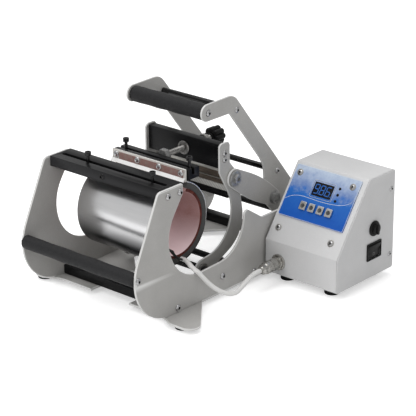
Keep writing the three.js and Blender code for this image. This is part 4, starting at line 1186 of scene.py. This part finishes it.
# Toggle links and handle. A bolt's row is its body, how far its seat is from its outer end, the profile
# under its head, the head's distance from the seat, the head, its turn, how far the shank reaches into
# the head, and the shank's radius
LINK_FLANGE = [
    (0, 0.0100), (0.0003, 0.0104), (0.0012, 0.0105), (0.0018, 0.0100), (0.0020, 0.0090), (0.0021, 0.0066),
]
LINK_WASHER = round_profile(0.0012, 0.009, FINE_ROUND)
LINK_BOLTS = {
    "front": ("swing", 0.006, LINK_FLANGE, 0.002, (0.0056, 0.0040, 0.0026), 0.5, 0, 0.004),
    "rear": ("handle", 0.0072, LINK_WASHER, 0.0012, (0.0064, 0.0056, 0.0036), 0.2, 0.0062, 0.0034),
}


def add_link_bolts():
    for label, side in (("left", -1), ("right", 1)):
        for end, (body, depth, profile, lift, head, turn, reach, radius) in LINK_BOLTS.items():
            node = f"link_{end}_bolt_{label}"
            low, high, middle = box_of(node)
            foot, outer = (low.x, high.x)[::side]
            seat = outer - side * depth
            shapes = [
                turned(profile, SIDES, at_x(middle, seat), (side, 0, 0)),
                nut(head, at_x(middle, seat + side * lift), (side, 0, 0), turn),
                rod(at_x(middle, foot), at_x(middle, seat + side * reach), radius),
            ]
            add(f"{node}_set", BOLT_METAL, shapes, node, body)


def add_handle_rods():
    rods = ("elbow_rod", "spacer_rod")
    for node in rods:
        add(f"{node}_bar", BLACK_ROD, [cross_rod(node, ROD_RADIUS, ARMS)], node, "handle")
    places = [middle_of(node).yz for node in (*rods, "handle_grip")]
    side_screws("handle_screws", places, "handle", 0.5)


# Control box
BOX_WALL = 0.0015


def slope_frame():
    """The control panel's lower front edge, and its directions up the slope and outwards."""
    middle_x = middle_of("control_panel").x
    right = [v.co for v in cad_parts["control_panel"].data.vertices if v.co.x > middle_x]
    foremost = min(right, key=lambda co: co.y)
    highest = max(right, key=lambda co: co.z)
    up = (highest - foremost).normalized()
    return Vector((0, foremost.y, foremost.z)), up, Vector((0, -up.z, up.y))


SLOPE_FOOT, SLOPE_UP, SLOPE_OUT = slope_frame()


def on_slope(x, along, out):
    """A point on the control panel: X, the distance up from its lower edge and the height over its face."""
    return Vector((x, 0, 0)) + SLOPE_FOOT + SLOPE_UP * along + SLOPE_OUT * out


def onto_slope(shape):
    """Carries a shape from the XY plane onto the control panel."""
    turn = Matrix(((1, 0, 0), (0, SLOPE_UP.y, SLOPE_OUT.y), (0, SLOPE_UP.z, SLOPE_OUT.z))).to_4x4()
    shape.transform(Matrix.Translation(SLOPE_FOOT) @ turn)
    return shape


def panel_box(node):
    """A solid's corners in X, the distance up the slope and the height over it."""
    offsets = [v.co - SLOPE_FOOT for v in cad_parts[node].data.vertices]
    places = [(offset.x, offset.dot(SLOPE_UP), offset.dot(SLOPE_OUT)) for offset in offsets]
    return [Vector([pick(values) for values in zip(*places)]) for pick in (min, max)]


# Film and prints of the control panel
panel_low, panel_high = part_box("control_panel")
PANEL_LOW = Vector((panel_low.x, 0))
PANEL_HIGH = Vector((panel_high.x, (panel_high.z - SLOPE_FOOT.z) / SLOPE_UP.z))
PANEL_CORNER = 0.002
PANEL_THICKNESS = 0.0012
PRINT_LOW = -0.0001
PRINT_TOP = 0.00012
RIM_INSET = 0.0003
RIM_CORNER = 0.0018
RIM_WIDTH = 0.0004
# The pale wave's course, as shares of the panel's width and length
WAVE_COURSE = [(0, 0.305), (0.1, 0.395), (0.22, 0.435), (0.38, 0.433), (0.53, 0.427), (0.70, 0.437),
               (0.87, 0.482), (0.965, 0.565), (1, 0.72)]
WAVE_WIDTH = 0.00045
WAVE_INSET = 0.0006


def sheet(low, high, corner, bottom, top):
    return onto_slope(plate([rounded_loop(low, high, corner)], bottom, top, "Z", THIN_ROUND))


def printed(loops, low=PRINT_LOW, top=PRINT_TOP):
    return onto_slope(lofted(loops, [(low, 0), (top, 0)], "Z"))


def printed_frame(low, high, corner, width, grow, top=PRINT_TOP):
    """A thin printed frame, whose outer edge lies grow outside two corners."""
    inner = rounded_loop(low, high, corner - width, grow - width)
    return printed([rounded_loop(low, high, corner, grow), inner[::-1]], top=top)


def add_box():
    low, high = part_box("box_shell")
    stations = [
        *rounded_ends(low.x, high.x, BROAD_ROUND)[:3],
        (high.x, 0), (high.x, BOX_WALL), (low.x + BOX_WALL, BOX_WALL),
    ]
    shell = lofted(outline_of("box_cover")[:1], stations)
    add("box_shell_sheet", BOX_COAT, [shell], "box_shell")
    add("box_cover_sheet", BOX_COAT, [sheet_of("box_cover", EASED_ROUND)], "box_cover")
    add_pads("box_foot")


def add_panel():
    film = panel_film(SLOPE_FOOT, on_slope(0, PANEL_HIGH.y, 0), SLOPE_UP)
    shape = sheet(PANEL_LOW, PANEL_HIGH, PANEL_CORNER, -PANEL_THICKNESS, 0)
    add("control_panel_film", film, [shape], "control_panel")
    rim = printed_frame(PANEL_LOW, PANEL_HIGH, RIM_CORNER, RIM_WIDTH, -RIM_INSET)
    add("panel_rim", PRINT_WHITE, [rim])


def add_wave():
    start = PANEL_LOW.x + WAVE_INSET
    width = PANEL_HIGH.x - WAVE_INSET - start
    course = smooth_path([(start + share * width, rise * PANEL_HIGH.y, 0) for share, rise in WAVE_COURSE])
    half = Vector((0, WAVE_WIDTH / 2))
    loop = [point.xy - half for point in course] + [point.xy + half for point in reversed(course)]
    add("panel_wave", PRINT_WHITE, [printed([loop])])


# Display: each segment's ends, and the digits' measures as shares of their size
SEGMENTS = {
    "a": ((-1, 2), (1, 2)), "b": ((1, 2), (1, 0)), "c": ((1, 0), (1, -2)), "d": ((-1, -2), (1, -2)),
    "e": ((-1, 0), (-1, -2)), "f": ((-1, 2), (-1, 0)), "g": ((-1, 0), (1, 0)),
}
SEGMENT_STEP = 0.25
SEGMENT_LEAN = 0.02
SEGMENT_HALF = 0.055
SEGMENT_GAP = 0.012
POINT_LOW = Vector((0.34, -0.54))
POINT_HIGH = Vector((0.43, -0.45))
POINT_CORNER = 0.0004
DIGITS = ("abcdfg", "abcdefg", "acdefg")
DIGIT_SHARE = 0.72
DIGIT_START = 0.19
DIGIT_PITCH = 0.3
DIGIT_HEIGHTS = (0.0004, 0.0006)
WINDOW_CORNER = 0.0006
WINDOW_HEIGHTS = (-0.0008, 0.0004)
# A printed frame's row is its name, its material, and its corner, width, distance outside and height
DISPLAY_FRAMES = [
    ("display_outline", PRINT_DARK, (0.0024, 0.0004, 0.0022, PRINT_TOP)),
    ("display_border", PRINT_WHITE, (0.0026, 0.0003, 0.0025, 0.00008)),
]
LAMP_GAP = 0.0085
LAMP_SHARES = (0.02, 0.48, 0.94)
LAMP_HEAD = (0.0019, 0.0009)


def digit(centre, size, lit):
    """A seven-segment digit: each lit segment is a small bar with pointed ends."""
    shapes = []
    for name in lit:
        start, end = (
            centre + size * Vector((SEGMENT_STEP * x + SEGMENT_LEAN * y, SEGMENT_STEP * y))
            for x, y in SEGMENTS[name]
        )
        run = (end - start).normalized() * size
        start, end = start + run * SEGMENT_GAP, end - run * SEGMENT_GAP
        point = run * SEGMENT_HALF
        off = point.orthogonal()
        shapes.append(printed([[
            start, start + point - off, end - point - off, end, end - point + off, start + point + off,
        ]], *DIGIT_HEIGHTS))
    return shapes


def add_display():
    low, high = panel_box("display")
    window = sheet(low, high, WINDOW_CORNER, *WINDOW_HEIGHTS)
    add("display_window", DISPLAY_GLASS, [window], "display")
    size = DIGIT_SHARE * (high.y - low.y) / (4 * SEGMENT_STEP + 2 * SEGMENT_HALF)
    shapes = []
    for i, lit in enumerate(DIGITS):
        share = DIGIT_START + DIGIT_PITCH * i
        centre = Vector((low.x + (high.x - low.x) * share, (low.y + high.y) / 2))
        point = rounded_loop(centre + size * POINT_LOW, centre + size * POINT_HIGH, POINT_CORNER)
        shapes += [*digit(centre, size, lit), printed([point], *DIGIT_HEIGHTS)]
    add("display_digits", DISPLAY_SEGMENTS, shapes)
    for name, material, (corner, width, grow, top) in DISPLAY_FRAMES:
        line = printed_frame(low, high, corner, width, grow, top)
        add(name, material, [line])
    places = [
        on_slope(high.x + LAMP_GAP, low.y + share * (high.y - low.y), 0) for share in LAMP_SHARES
    ]
    lamps = [dome(LAMP_HEAD, place, SLOPE_OUT) for place in places]
    add("lamps", BLACK_PLASTIC, lamps)


# Buttons, and the screws round the panel: rows of distance along and radius, then distances from the
# panel's corners and from the cover's edges
BUTTON_CORNER = 0.0012
DISH_SINK = 0.0005
DISH_PROFILE = [(0, 0.0030), (0.0003, 0.0030), (0.0005, 0.0027), (0.0005, 0.0022), (0.0002, 0.0018)]
BOX_HEAD = (0.0033, 0.0014)
WASHER_PROFILE = [(0, 0.0045), (0.0002, 0.0045), (0.0003, 0.0041)]
PANEL_SCREW_LEFT = 0.0085
PANEL_SCREW_RIGHT = 0.0105
PANEL_SCREW_TOP = 0.0105
COVER_SCREW_DROP = 0.0165
COVER_SCREW_RISE = 0.020
COVER_SCREW_TOP = 0.024
COVER_SCREW_SETBACK = 0.0075


def add_buttons():
    for i in range(1, 5):
        node = f"button_{i}"
        low, high = panel_box(node)
        loop = rounded_loop(low, high, BUTTON_CORNER)
        cap = onto_slope(plate([loop], low.z, high.z - END_ROUND, "Z", END_ROUND))
        add(f"{node}_cap", BUTTON_METAL, [cap], node, f"button_unit_{i}")
        x, y, _ = (low + high) / 2
        dish = turned(DISH_PROFILE, SMALL_SIDES, on_slope(x, y, high.z - DISH_SINK), SLOPE_OUT)
        add(f"{node}_dish", BUTTON_DISH, [dish], body=f"button_unit_{i}")


def add_box_screws():
    """Socket screws in the panel's top corners, below the panel and near the cover's rear edge."""
    left, right = PANEL_LOW.x + PANEL_SCREW_LEFT, PANEL_HIGH.x - PANEL_SCREW_RIGHT
    places = [
        on_slope(x, along, out)
        for along, out in ((PANEL_HIGH.y - PANEL_SCREW_TOP, 0), (-COVER_SCREW_DROP, -PANEL_THICKNESS))
        for x in (left, right)
    ]
    rings = [turned(WASHER_PROFILE, SMALL_SIDES, place, SLOPE_OUT) for place in places]
    add("panel_screw_washers", PLATE_STEEL, rings)
    rows = [(place, SLOPE_OUT, 0.2 + 0.5 * i) for i, place in enumerate(places)]
    low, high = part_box("box_cover")
    for z in (low.z + COVER_SCREW_RISE, high.z - COVER_SCREW_TOP):
        rows.append(((high.x, high.y - COVER_SCREW_SETBACK, z), RIGHT, 0.4))
    add_heads("box_screws", BOX_HEAD, rows, "frame")


# Rocker switch: how far its bezel's two edges lie outside the paddle in Y and Z, and its pale ring
BEZEL_OUTSIDE = Vector((0.0022, 0.0020))
BEZEL_INSIDE = Vector((0.0004, 0.0002))
BEZEL_CORNER = 0.0012
BEZEL_HOLE_CORNER = 0.0004
BEZEL_HEIGHT = 0.0018
MARK_PROFILE = [(-0.0002, 0.0020), (0.00012, 0.0020), (0.00012, 0.0016), (-0.0001, 0.0016)]


def add_rocker():
    low, high, middle = box_of("rocker_switch")
    half_z = (high.z - low.z) / 2
    outer = rounded_loop(low.yz - BEZEL_OUTSIDE, high.yz + BEZEL_OUTSIDE, BEZEL_CORNER)
    inner = rounded_loop(low.yz - BEZEL_INSIDE, high.yz + BEZEL_INSIDE, BEZEL_HOLE_CORNER)
    face_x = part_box("box_cover")[1].x
    bezel = lofted([outer, inner[::-1]], rounded_ends(face_x, face_x + BEZEL_HEIGHT, EASED_ROUND))
    add("rocker_bezel", BLACK_PLASTIC, [bezel])
    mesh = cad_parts["rocker_switch"].data
    paddle = bmesh.new()
    paddle.from_mesh(mesh)
    bmesh.ops.remove_doubles(paddle, verts=paddle.verts, dist=POINT_STEP)
    bmesh.ops.dissolve_limit(paddle, angle_limit=math.radians(1), verts=paddle.verts, edges=paddle.edges)
    sharp = [e for e in paddle.edges if len(e.link_faces) == 2 and e.calc_face_angle() > math.radians(3)]
    bmesh.ops.bevel(paddle, geom=sharp, offset=END_ROUND, segments=2, profile=0.5, affect="EDGES")
    add("rocker_paddle", BLACK_PLASTIC, [paddle], "rocker_switch", "rocker")
    faces = [face for face in mesh.polygons if face.normal.x > 0.8 and face.center.z < middle.z]
    normal = max(faces, key=lambda face: face.area).normal
    low_x = max(v.co.x for v in mesh.vertices if v.co.z < middle.z - 0.8 * half_z)
    middle_x = max(v.co.x for v in mesh.vertices if abs(v.co.z - middle.z) < 0.2 * half_z)
    centre = Vector(((low_x + middle_x) / 2, middle.y, middle.z - half_z / 2))
    mark = turned(MARK_PROFILE, SMALL_SIDES, centre, normal)
    add("rocker_mark", PRINT_GREY, [mark], body="rocker")


# Fuse holder's cap: rows of distance along and how far the broad rim is drawn in, then the ribbed round
# and the flat grip across it
FUSE_SIDES = 96
FUSE_RIM = [(0, 0.0004), (0.0003, 0), (0.0015, 0), (0.0021, 0.0005), (0.0024, 0.0012)]
FUSE_STEP = 0.0003
FUSE_RADIUS = 0.0074
FUSE_RIBS = ribbed(0.955 * FUSE_RADIUS, 0.03 * FUSE_RADIUS, 18)
FUSE_TOP = [(0.0028, FUSE_RIBS), (0.0022, 0.86 * FUSE_RADIUS), (0.0020, 0.5 * FUSE_RADIUS)]
FUSE_GRIP = Vector((0, 0.0019, 0.9 * FUSE_RADIUS))


def add_fuse():
    low, high, middle = box_of("fuse_cap")
    rim = (high.z - low.z) / 2
    length = high.x - low.x
    seat = FUSE_RIM[-1][0]
    profile = [(along, rim - pinch) for along, pinch in FUSE_RIM]
    profile += [(seat, FUSE_RADIUS), (seat + FUSE_STEP, FUSE_RIBS)]
    profile += [(length - along, reach) for along, reach in FUSE_TOP]
    cap = turned(profile, FUSE_SIDES, at_x(middle, low.x), RIGHT)
    start, end = at_x(middle, low.x + seat) - FUSE_GRIP, at_x(middle, high.x) + FUSE_GRIP
    add("fuse_cap_knurled", BLACK_PLASTIC, [cap, block(start, end, SOFT_ROUND)], "fuse_cap", "fuse")


# Floor, world and softboxes
WORLD_STRENGTH = 0.55
FLOOR_LIFT = 0.45
FLOOR_HALF = 6
# A softbox's row is its name, its place, what it faces, its size and its power
SOFTBOXES = [
    ("top_softbox", (-0.2, 0.1, 1.7), (0, 0, 0.1), (1.6, 1.6), 12.3),
    ("side_softbox", (1.5, -0.9, 1.0), (0.05, 0, 0.12), (0.9, 0.9), 2.5),
    ("front_softbox", (-0.3, -1.5, 1.3), (0.05, 0, 0.1), (0.9, 0.9), 12),
]


def seen_directly(tree):
    """1 for rays from the camera and for refracted ones."""
    light_path = tree.nodes.new("ShaderNodeLightPath")
    larger = tree.nodes.new("ShaderNodeMath")
    larger.operation = "MAXIMUM"
    for name, socket in zip(("Is Camera Ray", "Is Transmission Ray"), larger.inputs):
        tree.links.new(light_path.outputs[name], socket)
    return larger.outputs[0]


def add_world():
    world = bpy.data.worlds.new("studio")
    bpy.context.scene.world = world
    world.use_nodes = True
    tree = world.node_tree
    background = tree.nodes["Background"]
    strength = tree.nodes.new("ShaderNodeMapRange")
    strength.inputs["To Min"].default_value = WORLD_STRENGTH
    strength.inputs["To Max"].default_value = 1.0
    tree.links.new(seen_directly(tree), strength.inputs["Value"])
    tree.links.new(strength.outputs["Result"], background.inputs["Strength"])
    background.inputs["Color"].default_value = (1, 1, 1, 1)


def add_floor():
    """White paint that keeps the object's shadow. What is seen of it is lifted to plain white."""
    shape = bmesh.new()
    bmesh.ops.create_grid(shape, x_segments=2, y_segments=2, size=FLOOR_HALF)
    mesh = bpy.data.meshes.new("floor")
    shape.to_mesh(mesh)
    shape.free()
    nodes = Nodes("floor_paint")
    lift = nodes.math("MULTIPLY", seen_directly(nodes.tree), FLOOR_LIFT)
    nodes.link(lift, nodes.shader.inputs["Emission Strength"])
    tone = nodes.tones(nodes.noise(0.4), grey(0.90), grey(0.92))
    values = {"Emission_Color": (1, 1, 1, 1), "Roughness": 0.9, "Specular_IOR_Level": 0.1}
    mesh.materials.append(nodes.finish(tone, **values))
    floor = bpy.data.objects.new("floor", mesh)
    bpy.context.scene.collection.objects.link(floor)


def add_softboxes():
    for name, place, aim, size, power in SOFTBOXES:
        data = bpy.data.lights.new(name, "AREA")
        data.shape = "RECTANGLE"
        data.size, data.size_y = size
        data.energy = power
        lamp = bpy.data.objects.new(name, data)
        lamp.location = place
        lamp.rotation_mode = "QUATERNION"
        lamp.rotation_quaternion = (Vector(aim) - Vector(place)).to_track_quat("-Z", "Y")
        # The front one would show as a hot spot in the steel band
        lamp.visible_glossy = name != "front_softbox"
        bpy.context.scene.collection.objects.link(lamp)


add_camera()
add_lead(add_connector())
add_plates()
add_pads("foot_pad")
add_front_bar()
add_grips()
add_low_bars()
add_shafts()
add_heater()
add_heater_wires()
add_rear_clamp()
add_pressure_screw()
add_swing_frame()
add_link_bolts()
add_handle_rods()
add_box()
add_panel()
add_display()
add_wave()
add_buttons()
add_box_screws()
add_rocker()
add_fuse()
add_world()
add_floor()
add_softboxes()
bpy.context.scene.view_settings.view_transform = "Standard"
